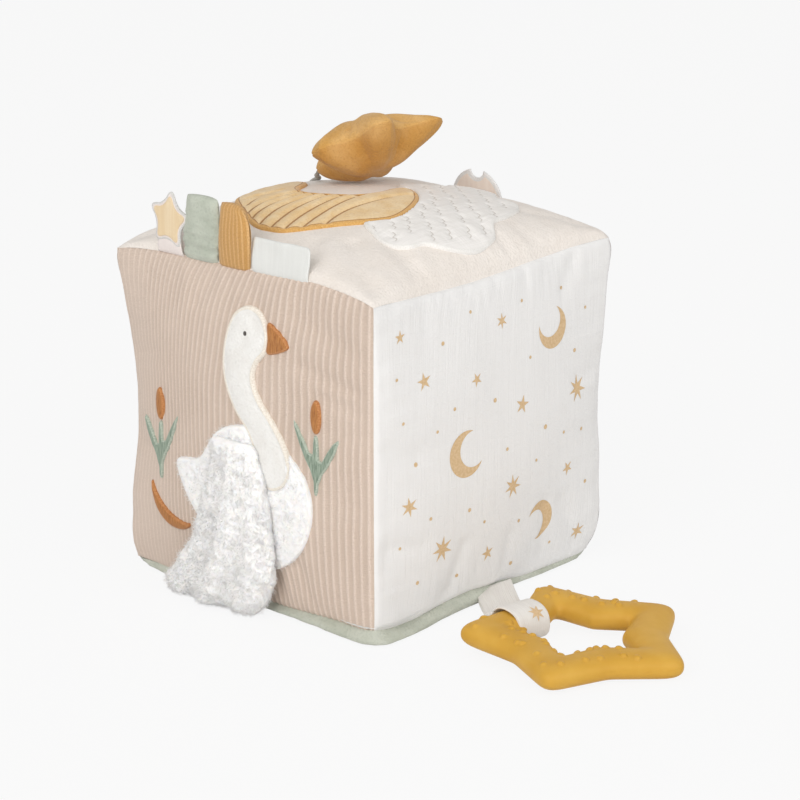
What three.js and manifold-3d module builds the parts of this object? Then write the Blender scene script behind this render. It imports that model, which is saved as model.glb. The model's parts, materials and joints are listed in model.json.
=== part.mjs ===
// A soft fabric activity block with a star teether, a plush star and sewn tags, in millimetres.
// +Z is up and the origin is the middle of the base, on the surface that the block stands on.
// The corduroy face looks along -Y, the printed face along +X and the plain top along +Z.
import * as THREE from "three";
import { mergeVertices } from "three/addons/utils/BufferGeometryUtils.js";
import Module from "manifold-3d";

const wasm = await Module();
wasm.setup();

// Driving dimensions of the block
const blockWidth = 149;        // from seam to seam, halfway along an edge
const topSeamHeight = 152.5;   // floor to the middle of a top seam
const baseSeamHeight = 6.5;    // floor to a base seam
const topCrown = 17.5;         // how far the top swells above its seams
const sideCrown = 7;           // how far each side swells past its seams
const cornerPoke = 3.5;        // how far the top corners stand out past the edges
const lowCornerPoke = 1;       // the same for the bottom corners
const cornerDrop = 4;          // how far the top corners hang below the middle of their seams
const footInset = 5.5;         // from a base seam in to the flat part that it stands on
const fabric = 2;              // a panel with its backing
const gap = 0.3;               // between pieces that touch
const applique = 1.4;          // a flat fabric shape sewn on a panel
const stitching = 0.8;         // a satin-stitched shape
const panelCells = 10;         // cells along one side of a panel
const crownShare = 0.5;        // the power of the crown's profile: 0.5 is round, 1 is a parabola
const cornerPower = 4;         // how closely the corners keep their poke and drop to themselves

// Driving dimensions of the shapes sewn on the front
const swanWidth = 82;
const swanHeight = 118;
const swanLeft = 38;           // from the middle of the front to the swan's tail
const swanFoot = 20;           // floor to the swan's belly
const beakLength = 14;
const beakHeight = 15;
const eyeWidth = 3.6;
const reedWidth = 26;
const reedHeight = 42;
const leftReedPlace = 50;      // middle of the front to the middle of the left reeds
const leftReedFoot = 48;
const rightReedPlace = 46;
const rightReedFoot = 62;
const cattailWidth = 5.5;
const cattailLength = 15;
const leafWidth = 27;
const leafHeight = 21;
const leafPlace = 44;
const leafFoot = 26;
const wingWidth = 64;
const wingHeight = 77;
const wingFoot = 1;
const wingPlace = 40;          // from the middle of the front to the wing's left end
const wingRoot = 3;            // thickness at its sewn top
const wingFull = 10;           // thickness where it is fullest
const wingFold = 1.6;          // depth of its folds
const wingEdge = 1.6;          // thickness round its edge

// Driving dimensions of the shapes sewn on the top
const tailWidth = 97;
const tailDepth = 78;
const tailPlaceX = -62;
const tailPlaceY = -55;
const cloudWidth = 73;
const cloudDepth = 100;
const cloudPlaceX = -4;
const cloudPlaceY = -38;
const quilted = 2.2;

// Driving dimensions of the tags
const tagPly = 1.4;
const starTagRadius = 11.5;
const starTagHeight = 27;
const starTagFoot = 16.5;
const starTagPlace = -44.2;
const sageTagWidth = 19.4;
const sageTagHeight = 27;
const sageTagDepth = 4.6;
const sageTagPlace = -23.1;
const cordTagWidth = 15.2;
const cordTagHeight = 28;
const cordTagDepth = 6.5;
const cordTagPlace = -4.3;
const labelWidth = 34;
const labelHeight = 14.5;
const labelThickness = 1;
const labelLean = 8;           // degrees back from upright
const labelPlace = 20.8;
const moonRadius = 14.8;
const moonBite = 3.6;
const moonRise = 12;
const moonSink = 12.6;         // how much of it lies in the seam
const moonPlace = 1.5;

// Driving dimensions of the teether and its strap
const ringRadius = 31.4;       // to the middle of the arm, on average
const ringPoint = 6.8;         // how far its five points stand out and its notches in
const ringSharpen = 2.5;       // how much narrower its points are than plain waves
const armWidth = 17.4;
const armThickness = 11.3;
const ringTurn = 5.4;          // degrees from +X to one of its points
const notchPlaceX = 118;
const notchPlaceY = -25.5;
const nubRadius = 1.6;
const strapWidth = 19;
const strapPly = 1.2;
const loopHeight = 13.4;       // inside the loop
const loopLength = 25;
const loopBack = 1.3;          // how far its middle lies on the block's side of the arm's
const strapSeamPlace = 2.5;
const strapSeamDrop = 1.3;       // from the base seam down to the middle of the strap

// Driving dimensions of the plush star and its tether
const plushRadius = 33.2;
const plushNotch = 20;
const plushFull = 25.1;
const plushEdge = 1;
const plushPlaceX = -15.6;
const plushPlaceY = 22;
const plushLift = 15.4;        // from the top of the crown to the star's middle
const plushRise = 18;          // degrees that its right arm rises
const plushDip = 24;           // degrees that its far side dips
const plushAim = 47;           // degrees from +X to the way its right arm points
const plushTurn = 5;           // degrees that it is turned in its own plane
const tetherDiameter = 2;
// Where the tether runs, chosen by hand: out of the left seam, over the crown and to the star
const tetherRoute = [
  [-76.6, 44.0, 152.4],
  [-76.3, 43.8, 153.8],
  [-75.5, 43.4, 155.3],
  [-74.1, 42.7, 156.7],
  [-72.4, 41.7, 158.0],
  [-70.3, 40.4, 159.3],
  [-67.7, 38.8, 160.6],
  [-64.6, 36.9, 161.9],
  [-61.5, 34.8, 163.1],
  [-58.4, 32.5, 164.2],
  [-55.4, 29.9, 165.2],
  [-52.6, 26.9, 166.4],
  [-50.2, 23.6, 167.8],
  [-47.8, 20.2, 169.3],
  [-43.6, 16.3, 170.1],
];

const half = blockWidth / 2;
const seamSpan = topSeamHeight - baseSeamHeight;
const radians = THREE.MathUtils.degToRad;

// A point of the block's skin. a, b and c run from -1 to 1 along X, Y and Z, and one of them is at its end.
function skin(a, b, c) {
  const dome = (s, t) => Math.pow(Math.max(0, (1 - s * s) * (1 - t * t)), crownShare);
  const corner = Math.pow(Math.abs(a * b * c), cornerPower);
  const poke = (c > 0 ? cornerPoke : lowCornerPoke) * corner;
  const swellX = Math.abs(a) === 1 ? sideCrown * dome(b, c) : 0;
  const swellY = Math.abs(b) === 1 ? sideCrown * dome(a, c) : 0;
  const x = a * (half + swellX + poke);
  const y = b * (half + swellY + poke);
  let z = baseSeamHeight + (seamSpan * (c + 1)) / 2;
  if (c > 0) z -= cornerDrop * corner;
  if (c === 1) z += topCrown * dome(a, b);
  if (c === -1) {
    const foot = 1 - footInset / half;
    const out = Math.max(0, (Math.max(Math.abs(a), Math.abs(b)) - foot) / (1 - foot));
    z = baseSeamHeight * out * out;
  }
  return new THREE.Vector3(x, y, z);
}

// The skin drawn in towards the block's middle by a depth measured at its sides
function inset(point, depth) {
  const middle = new THREE.Vector3(0, 0, topSeamHeight / 2);
  return point.clone().sub(middle).multiplyScalar(1 - depth / half).add(middle);
}

// Each face as the map from its own two directions to a, b and c, and the way it looks
const faces = {
  front: { at: (u, v) => [u, -1, v], out: [0, -1, 0] },
  right: { at: (u, v) => [1, u, v], out: [1, 0, 0] },
  back: { at: (u, v) => [-u, 1, v], out: [0, 1, 0] },
  left: { at: (u, v) => [-1, -u, v], out: [-1, 0, 0] },
  top: { at: (u, v) => [u, v, 1], out: [0, 0, 1] },
  base: { at: (u, v) => [u, -v, -1], out: [0, 0, -1] },
};

function closedGeometry(points, triangles) {
  const geometry = new THREE.BufferGeometry();
  const positions = points.flatMap((p) => [p.x, p.y, p.z]);
  geometry.setAttribute("position", new THREE.Float32BufferAttribute(positions, 3));
  geometry.setIndex(triangles);
  return geometry;
}

// A closed sheet between two grids of points, the first one outwards, each given as at(i, j)
function sheetBetween(upper, lower, columns, rows) {
  const points = [];
  for (const at of [upper, lower])
    for (let j = 0; j <= rows; j++)
      for (let i = 0; i <= columns; i++) points.push(at(i, j));
  const layer = (columns + 1) * (rows + 1);
  const index = (i, j, low) => i + j * (columns + 1) + (low ? layer : 0);
  const triangles = [];
  const quad = (a, b, c, d) => triangles.push(a, b, c, a, c, d);
  for (let j = 0; j < rows; j++)
    for (let i = 0; i < columns; i++) {
      quad(index(i, j), index(i + 1, j), index(i + 1, j + 1), index(i, j + 1));
      triangles.push(index(i, j, 1), index(i + 1, j + 1, 1), index(i + 1, j, 1));
      triangles.push(index(i, j, 1), index(i, j + 1, 1), index(i + 1, j + 1, 1));
    }
  for (let i = 0; i < columns; i++) {
    quad(index(i, 0, 1), index(i + 1, 0, 1), index(i + 1, 0), index(i, 0));
    quad(index(i, rows), index(i + 1, rows), index(i + 1, rows, 1), index(i, rows, 1));
  }
  for (let j = 0; j < rows; j++) {
    quad(index(0, j), index(0, j + 1), index(0, j + 1, 1), index(0, j, 1));
    quad(index(columns, j, 1), index(columns, j + 1, 1), index(columns, j + 1), index(columns, j));
  }
  return closedGeometry(points, triangles);
}

// Where the grid lines of a panel lie: closer together towards the seams
const gridShare = (i) => Math.sin((Math.PI / 2) * ((2 * i) / panelCells - 1));

// A panel stops half a gap short of each seam, so that it doesn't touch its neighbours
function panel(face) {
  const [outX, outY, outZ] = face.out;
  const shorten = gap / Math.SQRT2;
  const at = (i, j, depth) => {
    const [u, v] = [gridShare(i), gridShare(j)];
    const point = inset(skin(...face.at(u, v)), depth);
    if (!outX) point.x *= 1 - shorten / half;
    if (!outY) point.y *= 1 - shorten / half;
    if (!outZ) point.z -= shorten * v * Math.abs(v);
    return point;
  };
  return sheetBetween((i, j) => at(i, j, 0), (i, j) => at(i, j, fabric), panelCells, panelCells);
}

// The stuffing fills the panels' inside
function stuffing() {
  const points = [];
  const triangles = [];
  for (const face of Object.values(faces)) {
    const start = points.length;
    for (let j = 0; j <= panelCells; j++)
      for (let i = 0; i <= panelCells; i++)
        points.push(inset(skin(...face.at(gridShare(i), gridShare(j))), fabric + gap));
    const index = (i, j) => start + i + j * (panelCells + 1);
    for (let j = 0; j < panelCells; j++)
      for (let i = 0; i < panelCells; i++) {
        triangles.push(index(i, j), index(i + 1, j), index(i + 1, j + 1));
        triangles.push(index(i, j), index(i + 1, j + 1), index(i, j + 1));
      }
  }
  return mergeVertices(closedGeometry(points, triangles), gap / 100);
}

function solidOf(geometry) {
  const bare = geometry.index ? geometry.toNonIndexed() : geometry.clone();
  bare.deleteAttribute("normal");
  bare.deleteAttribute("uv");
  const merged = mergeVertices(bare, gap / 1000);
  const mesh = new wasm.Mesh({
    numProp: 3,
    vertProperties: new Float32Array(merged.attributes.position.array),
    triVerts: new Uint32Array(merged.index.array),
  });
  return new wasm.Manifold(mesh);
}

function geometryOf(solid) {
  const mesh = solid.getMesh();
  const geometry = new THREE.BufferGeometry();
  geometry.setAttribute("position", new THREE.BufferAttribute(new Float32Array(mesh.vertProperties), 3));
  geometry.setIndex(new THREE.BufferAttribute(new Uint32Array(mesh.triVerts), 1));
  return geometry;
}

// The space that a sewn-on shape takes on a panel, from one height above the panel to another
function layerOn(face, low, high) {
  const out = new THREE.Vector3(...face.out);
  const at = (i, j, lift) => skin(...face.at(gridShare(i), gridShare(j))).addScaledVector(out, lift);
  return solidOf(sheetBetween((i, j) => at(i, j, high), (i, j) => at(i, j, low), panelCells, panelCells));
}

// A closed outline through points given as shares of a width and a height
function outline(shares, width, height, smooth, steps) {
  const points = shares.map(([u, v]) => new THREE.Vector3(u * width, v * height, 0));
  if (!smooth) return points.map((p) => new THREE.Vector2(p.x, p.y));
  const curve = new THREE.CatmullRomCurve3(points, true, "centripetal");
  return curve.getPoints(steps).slice(0, -1).map((p) => new THREE.Vector2(p.x, p.y));
}

// An outline moved outwards all round
function grown(points, by) {
  const turn = THREE.ShapeUtils.area(points) > 0 ? 1 : -1;
  return points.map((p, i) => {
    const before = points[(i + points.length - 1) % points.length];
    const after = points[(i + 1) % points.length];
    const along = after.clone().sub(before).normalize();
    return new THREE.Vector2(p.x + along.y * by * turn, p.y - along.x * by * turn);
  });
}

function prism(points, depth) {
  return new THREE.ExtrudeGeometry(new THREE.Shape(points), { depth, bevelEnabled: false });
}

// An outline drawn in X and Z, as a prism right through the front of the block
function frontPrism(points, x, z) {
  const depth = blockWidth;
  return solidOf(prism(points, depth).rotateX(Math.PI / 2).translate(x, 0, z));
}

// An outline drawn in X and Y, as a prism right through the top of the block
function topPrism(points, x, y) {
  return solidOf(prism(points, topSeamHeight + topCrown).translate(x, y, topSeamHeight / 2));
}

const neckShares = [
  [0.549, 1.0], [0.646, 0.975], [0.701, 0.915], [0.689, 0.847], [0.628, 0.797], [0.604, 0.737],
  [0.646, 0.669], [0.744, 0.593], [0.829, 0.508], [0.866, 0.424], [0.817, 0.356], [0.72, 0.331],
  [0.634, 0.364], [0.616, 0.449], [0.561, 0.534], [0.47, 0.602], [0.402, 0.686], [0.378, 0.78],
  [0.396, 0.881], [0.451, 0.966],
];
const bodyShares = [
  [0.0, 0.33], [0.085, 0.203], [0.25, 0.076], [0.47, 0.0], [0.68, 0.008], [0.88, 0.093],
  [0.99, 0.229], [0.98, 0.373], [0.86, 0.475], [0.67, 0.55], [0.5, 0.55], [0.33, 0.5],
  [0.19, 0.38], [0.085, 0.36],
];
const beakShares = [
  [0, 1], [0.35, 0.86], [0.75, 0.6], [1, 0.36], [0.72, 0.2], [0.35, 0.06], [0, 0], [0.05, 0.5],
];
const reedShares = [
  [0.47, 0], [0.53, 0], [0.545, 0.2], [0.78, 0.42], [1.0, 0.78], [0.84, 0.66], [0.57, 0.36], [0.54, 0.62],
  [0.5, 0.64], [0.46, 0.62], [0.44, 0.3], [0.2, 0.56], [0, 0.66], [0.16, 0.42], [0.45, 0.16],
];
const leafShares = [
  [0, 1], [0.12, 0.74], [0.28, 0.5], [0.5, 0.3], [0.78, 0.2], [1, 0.24], [0.86, 0.06], [0.6, -0.02],
  [0.36, 0.06], [0.16, 0.3], [0.04, 0.64],
];

const headShares = [0.55, 0.9];
const beakFootShare = 0.68;
const reedTopShare = 0.64;
const neckOutline = outline(neckShares, swanWidth, swanHeight, true, 56);
const bodyOutline = outline(bodyShares, swanWidth, swanHeight, true, 44);
const beakOutline = outline(beakShares, beakLength, beakHeight, false);
const swanX = -swanLeft;
const headX = swanX + headShares[0] * swanWidth;
const headZ = swanFoot + headShares[1] * swanHeight;

function swanNeck() {
  return layerOn(faces.front, gap, gap + applique).intersect(frontPrism(neckOutline, swanX, swanFoot));
}

function swanBody() {
  const neckRoom = frontPrism(grown(neckOutline, gap), swanX, swanFoot);
  const body = layerOn(faces.front, gap, gap + applique).intersect(frontPrism(bodyOutline, swanX, swanFoot));
  return body.subtract(neckRoom);
}

function swanBeak() {
  const x = swanX + beakFootShare * swanWidth;
  const z = headZ - beakHeight / 2;
  const beak = layerOn(faces.front, gap, gap + applique).intersect(frontPrism(beakOutline, x, z));
  return beak.subtract(frontPrism(grown(neckOutline, gap), swanX, swanFoot));
}

function swanEye() {
  const ring = new THREE.EllipseCurve(0, 0, eyeWidth / 2, eyeWidth / 2).getPoints(12).slice(0, -1);
  const low = gap + applique + gap;
  return layerOn(faces.front, low, low + stitching).intersect(frontPrism(ring, headX, headZ));
}

function reeds(x, z, mirrored) {
  const shares = reedShares.map(([u, v]) => [mirrored ? 0.5 - u : u - 0.5, v]);
  const shape = frontPrism(outline(shares, reedWidth, reedHeight, false), x, z);
  return layerOn(faces.front, gap, gap + stitching).intersect(shape);
}

function cattail(x, z) {
  const ring = new THREE.EllipseCurve(0, 0, cattailWidth / 2, cattailLength / 2).getPoints(14).slice(0, -1);
  const middle = z + reedTopShare * reedHeight + gap + cattailLength / 2;
  return layerOn(faces.front, gap, gap + stitching).intersect(frontPrism(ring, x, middle));
}

function rustLeaf() {
  const leaf = outline(leafShares, leafWidth, leafHeight, true, 30);
  const shape = frontPrism(leaf, -leafPlace - leafWidth / 2, leafFoot);
  return layerOn(faces.front, gap, gap + stitching).intersect(shape);
}

// The wing hangs from its sewn top. Each row gives a share of its height, and its left and right ends.
const wingRowShares = [
  [1.0, 0.5, 0.8], [0.97, 0.47, 0.84], [0.85, 0.47, 0.9], [0.64, 0.4, 0.96], [0.38, 0.29, 0.99],
  [0.24, 0.16, 1.0], [0.1, 0.03, 0.94], [0.03, 0.02, 0.86], [0.0, 0.06, 0.82],
];
const wingFullShares = [0, 0.3, 0.62, 0.86, 1, 1, 0.96, 0.7, 0.25];
const wingFolds = 5;
const wingBack = half + sideCrown + 2 * gap + applique;

function wingFlap() {
  const rows = wingRowShares.length - 1;
  const columns = 12;
  const at = (i, j, front) => {
    const [up, left, right] = wingRowShares[j];
    const across = i / columns;
    const spread = 0.5 - 0.5 * Math.cos(Math.PI * across);
    const x = -wingPlace + wingWidth * (left + (right - left) * spread);
    const z = wingFoot + wingHeight * up;
    const full = wingRoot + (wingFull - wingRoot) * wingFullShares[j];
    const round = Math.sqrt(Math.max(0, 1 - (2 * spread - 1) ** 2));
    const fold = wingFold * (1 - up) * Math.sin(wingFolds * Math.PI * spread) * round;
    const swell = wingEdge + (full - wingEdge) * round + fold;
    return new THREE.Vector3(x, -wingBack - (front ? swell : 0), z);
  };
  return sheetBetween((i, j) => at(i, rows - j, true), (i, j) => at(i, rows - j, false), columns, rows);
}

const tailShares = [
  [0.485, 0.013], [0.6, 0.0], [0.7, 0.038], [0.845, 0.205], [0.97, 0.385], [1.0, 0.5], [0.97, 0.654],
  [0.897, 0.82], [0.784, 0.96], [0.69, 1.0], [0.67, 0.91], [0.69, 0.77], [0.65, 0.64], [0.546, 0.577],
  [0.402, 0.564], [0.289, 0.64], [0.206, 0.81], [0.124, 0.885], [0.041, 0.81], [0.0, 0.628],
  [0.041, 0.449], [0.144, 0.295], [0.309, 0.141],
];
const cloudShares = [
  [0.405, 0.11], [0.568, 0.03], [0.716, 0.0], [0.838, 0.04], [0.865, 0.12], [0.946, 0.2], [1.0, 0.34],
  [0.96, 0.5], [0.851, 0.59], [0.824, 0.7], [0.77, 0.82], [0.662, 0.91], [0.514, 0.9], [0.405, 0.98],
  [0.216, 0.99], [0.108, 0.91], [0.135, 0.84], [0.03, 0.76], [0.0, 0.66], [0.12, 0.58], [0.257, 0.38],
];
const tailOutline = outline(tailShares, tailWidth, tailDepth, true, 48);
const cloudOutline = outline(cloudShares, cloudWidth, cloudDepth, true, 48);

function tailShape() {
  return layerOn(faces.top, gap, gap + quilted).intersect(topPrism(tailOutline, tailPlaceX, tailPlaceY));
}

function cloudShape() {
  const whole = topPrism(cloudOutline, cloudPlaceX, cloudPlaceY);
  const cloud = layerOn(faces.top, gap, gap + quilted).intersect(whole);
  return cloud.subtract(topPrism(grown(tailOutline, gap), tailPlaceX, tailPlaceY));
}

// The top seam's height over a stretch of it, and how far out it lies, on the front or the back
function seamUnder(x, width) {
  const ends = [x - width / 2, x, x + width / 2].map((place) => skin(place / half, -1, 1));
  return { z: Math.max(...ends.map((p) => p.z)), y: Math.min(...ends.map((p) => p.y)) };
}

function starOutline(points, outer, inner) {
  return Array.from({ length: 2 * points }, (_, k) => {
    const angle = Math.PI / 2 + (Math.PI * k) / points;
    const reach = k % 2 ? inner : outer;
    return new THREE.Vector2(reach * Math.cos(angle), reach * Math.sin(angle));
  });
}

// A flat tag's outline stands in X and Z, its foot at height zero
function flatTag(solid, place, width) {
  const seam = seamUnder(place, width);
  return solid.translate(place, seam.y - gap, seam.z + gap);
}

function uprightPlate(points, thickness) {
  return solidOf(prism(points, thickness).rotateX(Math.PI / 2));
}

// What of a tag stands above its foot
function aboveFoot(solid) {
  return solid.trimByPlane([0, 0, 1], 0);
}

function starTag() {
  const middle = starTagHeight - starTagRadius;
  const points = starOutline(5, starTagRadius, starTagRadius / 2);
  const star = points.map((p) => new THREE.Vector2(p.x, p.y + middle));
  const side = starTagFoot / 2;
  const foot = outline([[-1, 0], [1, 0], [1, 1], [-1, 1]], side, middle, false);
  const tag = uprightPlate(star, tagPly).add(uprightPlate(foot, tagPly));
  return flatTag(aboveFoot(tag), starTagPlace, starTagFoot);
}

// A folded tag: a strip bent over into a loop, its two ends in the seam
function loopTag(width, height, depth, lean) {
  const steps = 6;
  const waist = 2 * tagPly + gap;
  const straight = height - depth / 2;
  // One flank from the foot up, on either side and from the outside or the inside of the strip
  const flank = (side, ply) =>
    Array.from({ length: steps + 1 }, (_, k) => {
      const up = k / steps;
      const reach = (waist + (depth - waist) * Math.sin((Math.PI / 2) * up)) / 2 - ply;
      return [side * reach + lean * up * up, straight * up];
    });
  // The bend over the top
  const bend = (side, ply) =>
    Array.from({ length: steps - 1 }, (_, k) => {
      const angle = (Math.PI * (k + 1)) / steps;
      const radius = depth / 2 - ply;
      return [side * radius * Math.cos(angle) + lean, straight + radius * Math.sin(angle)];
    });
  const outer = [...flank(1, 0), ...bend(1, 0), ...flank(-1, 0).reverse()];
  const inner = [...flank(-1, tagPly), ...bend(-1, tagPly), ...flank(1, tagPly).reverse()];
  const strip = [...outer, ...inner].map(([y, z]) => new THREE.Vector2(y, z));
  const across = prism(strip, width).rotateX(Math.PI / 2).rotateZ(Math.PI / 2);
  return solidOf(across).translate(-width / 2, -waist / 2, 0);
}

function label() {
  const plate = solidOf(new THREE.BoxGeometry(labelWidth, labelThickness, labelHeight));
  const raised = plate.translate(0, -labelThickness / 2, labelHeight / 2);
  return flatTag(raised.rotate([-labelLean, 0, 0]), labelPlace, labelWidth);
}

function moonTag() {
  const disc = (radius, up) =>
    new THREE.EllipseCurve(0, up, radius, radius).getPoints(28).slice(0, -1);
  const middle = moonRadius - moonSink;
  const whole = uprightPlate(disc(moonRadius, middle), tagPly);
  const bite = uprightPlate(disc(moonBite, middle + moonRise), 3 * tagPly).translate(0, tagPly, 0);
  const moon = aboveFoot(whole.subtract(bite));
  const seam = seamUnder(moonPlace, moonRadius);
  return moon.translate(moonPlace, tagPly + gap - seam.y, seam.z + gap);
}

// The middle of the teether's arm in its own plane, at an angle that is half a turn at the notch
function ringReach(angle) {
  return ringRadius + ringPoint * Math.cos(5 * angle) + ringSharpen * Math.cos(10 * angle);
}

const loopMiddle = loopHeight / 2 + strapPly + gap;
const ringSteps = 60;
const ringStep = (2 * Math.PI) / ringSteps;
const notchReach = ringReach(Math.PI);
const ringTilt = Math.asin((loopMiddle - armThickness / 2) / (notchReach + ringRadius));

// A point of the arm's skin. round runs from 0 at the outer edge over the top and back.
function armPoint(angle, round) {
  const middle = (turn) => new THREE.Vector3(Math.cos(turn), Math.sin(turn), 0).multiplyScalar(ringReach(turn));
  const along = middle(angle + ringStep).sub(middle(angle - ringStep)).normalize();
  const outwards = new THREE.Vector3(along.y, -along.x, 0);
  const point = middle(angle).addScaledVector(outwards, (armWidth / 2) * Math.cos(round));
  return point.setZ((armThickness / 2) * Math.sin(round));
}

// The nubs stand in two rows on each arm, but for a plain stretch to hold and the arm in the strap
const nubCount = 50;
const nubRowShares = [0.5, -0.3];
const plainShares = [0.02, 0.28];
const strapShares = [0.43, 0.57];

function nubPlaces() {
  const within = (share, [from, to]) => share > from && share < to;
  return Array.from({ length: nubCount }, (_, k) => [k / nubCount, nubRowShares[(k + 1) % 2]]).filter(
    ([share]) => !within(share, plainShares) && !within(share, strapShares),
  );
}

function teetherRing() {
  const sides = 12;
  const points = [];
  const triangles = [];
  for (let k = 0; k < ringSteps; k++)
    for (let s = 0; s < sides; s++) points.push(armPoint(k * ringStep, (2 * Math.PI * s) / sides));
  const index = (k, s) => (k % ringSteps) * sides + (s % sides);
  for (let k = 0; k < ringSteps; k++)
    for (let s = 0; s < sides; s++) {
      triangles.push(index(k, s), index(k + 1, s), index(k + 1, s + 1));
      triangles.push(index(k, s), index(k + 1, s + 1), index(k, s + 1));
    }
  let ring = solidOf(closedGeometry(points, triangles));
  for (const [share, row] of nubPlaces()) {
    const seat = armPoint(share * 2 * Math.PI, Math.acos(row));
    ring = ring.add(solidOf(new THREE.IcosahedronGeometry(nubRadius, 0)).translate(seat.x, seat.y, seat.z));
  }
  const notchWay = Math.PI + radians(ringTurn);
  const notch = [notchReach * Math.cos(notchWay), notchReach * Math.sin(notchWay)];
  return ring
    .rotate([0, 0, ringTurn])
    .translate(-notch[0], -notch[1], 0)
    .rotate([0, THREE.MathUtils.radToDeg(ringTilt), 0])
    .translate(notchPlaceX, notchPlaceY, loopMiddle);
}

// The strap: two plies from the seam to a loop round the teether's arm
function strap() {
  const ring = (grow) =>
    new THREE.EllipseCurve(0, 0, loopLength / 2 + grow, loopHeight / 2 + grow).getPoints(28).slice(0, -1);
  const hole = uprightPlate(ring(0), 3 * strapWidth).translate(0, strapWidth, 0);
  const band = uprightPlate(ring(strapPly), strapWidth).subtract(hole);
  const loop = band.translate(notchPlaceX - loopBack, notchPlaceY + strapWidth / 2, loopMiddle);
  const seam = skin(1, strapSeamPlace / half, -1);
  const start = new THREE.Vector3(seam.x + gap, strapSeamPlace, baseSeamHeight - strapSeamDrop);
  const reach = loopLength / 2 + strapPly / 2 + loopBack;
  const end = new THREE.Vector3(notchPlaceX - reach, notchPlaceY, loopMiddle);
  const steps = 6;
  const at = (i, j, lift) => {
    const along = i / steps;
    const point = start.clone().lerp(end, along);
    point.y = THREE.MathUtils.lerp(start.y, end.y, THREE.MathUtils.smoothstep(along, 0, 1));
    point.y += (j - 0.5) * strapWidth;
    point.z += lift;
    return point;
  };
  const tail = solidOf(sheetBetween((i, j) => at(i, j, strapPly), (i, j) => at(i, j, -strapPly), steps, 1));
  return tail.add(loop);
}

// The plush star: two star-shaped panels sewn round their edge and stuffed
const plushTaperShare = 1.42;
const plushSlimShare = 0.55;

function plushStar() {
  const spokes = 20;
  const rings = 5;
  const points = [];
  const triangles = [];
  const angleAt = (k) => (2 * Math.PI * k) / spokes;
  const reach = (angle) => {
    const wave = 0.5 + 0.5 * Math.cos(5 * angle);
    return plushNotch + (plushRadius - plushNotch) * Math.pow(wave, plushTaperShare);
  };
  const put = (radius, angle, up) =>
    points.push(new THREE.Vector3(radius * Math.cos(angle), radius * Math.sin(angle), up)) - 1;
  const everySpoke = (place) => Array.from({ length: spokes }, (_, k) => place(angleAt(k)));
  const rim = everySpoke((angle) => put(reach(angle), angle, 0));
  const facet = (corners, sign) => {
    if (sign < 0) corners.reverse();
    for (let k = 2; k < corners.length; k++) triangles.push(corners[0], corners[k - 1], corners[k]);
  };
  for (const sign of [1, -1]) {
    const middle = put(0, 0, (sign * plushFull) / 2);
    let inside = null;
    for (let m = 1; m <= rings; m++) {
      const share = Math.sin((Math.PI / 2) * (m / rings));
      const height = (plushEdge + (plushFull - plushEdge) * Math.sqrt(Math.max(0, 1 - share * share))) / 2;
      const slim = (angle) => plushSlimShare + (1 - plushSlimShare) * (plushNotch / reach(angle));
      const rise = (angle) => sign * height * (1 - share * (1 - slim(angle)));
      const ring = m === rings ? rim : everySpoke((angle) => put(reach(angle) * share, angle, rise(angle)));
      for (let k = 0; k < spokes; k++) {
        const next = (k + 1) % spokes;
        facet(inside ? [inside[k], ring[k], ring[next], inside[next]] : [middle, ring[k], ring[next]], sign);
      }
      inside = ring;
    }
  }
  return closedGeometry(points, triangles);
}

// The way the plush star lies: its right arm along the first axis, its far side along the second
function plushMatrix() {
  const turn = radians(plushAim);
  const right = new THREE.Vector3(Math.cos(turn), Math.sin(turn), 0);
  const away = new THREE.Vector3(-Math.sin(turn), Math.cos(turn), 0);
  const up = new THREE.Vector3(0, 0, 1);
  const [rise, dip] = [radians(plushRise), radians(plushDip)];
  const first = right.clone().multiplyScalar(Math.cos(rise)).addScaledVector(up, Math.sin(rise));
  const second = away.clone().multiplyScalar(Math.cos(dip)).addScaledVector(up, -Math.sin(dip));
  second.addScaledVector(first, -second.dot(first)).normalize();
  const third = first.clone().cross(second);
  const height = topSeamHeight + topCrown + plushLift;
  const lie = new THREE.Matrix4().makeBasis(first, second, third).setPosition(plushPlaceX, plushPlaceY, height);
  return lie.multiply(new THREE.Matrix4().makeRotationZ(radians(plushTurn)));
}

function tether() {
  const route = new THREE.CatmullRomCurve3(tetherRoute.map((p) => new THREE.Vector3(...p)));
  const round = new THREE.EllipseCurve(0, 0, tetherDiameter / 2, tetherDiameter / 2);
  const section = new THREE.Shape(round.getPoints(8).slice(0, -1));
  return new THREE.ExtrudeGeometry(section, { extrudePath: route, steps: 14, bevelEnabled: false });
}

const finish = (color, roughness) => new THREE.MeshStandardMaterial({ color, roughness, metalness: 0 });
const materials = {
  corduroy: finish("#d2c2b3", 0.95),
  print: finish("#e8e8e6", 0.95),
  cream: finish("#ebe5de", 0.95),
  sage: finish("#c3ccc2", 0.95),
  filling: finish("#f2f2f0", 1),
  velour: finish("#eeece8", 0.95),
  sherpa: finish("#efece6", 1),
  rust: finish("#b87840", 0.85),
  eye: finish("#55504c", 0.8),
  reed: finish("#8fa392", 0.85),
  ochre: finish("#dcb070", 0.9),
  cloud: finish("#edebe8", 0.95),
  peach: finish("#ebe0dc", 0.8),
  ochreCorduroy: finish("#d8a868", 0.95),
  label: finish("#eef0ee", 0.7),
  moon: finish("#d2c4b4", 0.8),
  silicone: finish("#d6a43c", 0.55),
  ribbon: finish("#e3dfda", 0.7),
  plush: finish("#cc9a50", 0.95),
  cord: finish("#a9a49c", 0.8),
};

const block = new THREE.Group();
function add(name, shape, material) {
  const geometry = shape.isBufferGeometry ? shape : geometryOf(shape);
  geometry.computeVertexNormals();
  const mesh = new THREE.Mesh(geometry, material);
  mesh.name = name;
  block.add(mesh);
  return mesh;
}

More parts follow.
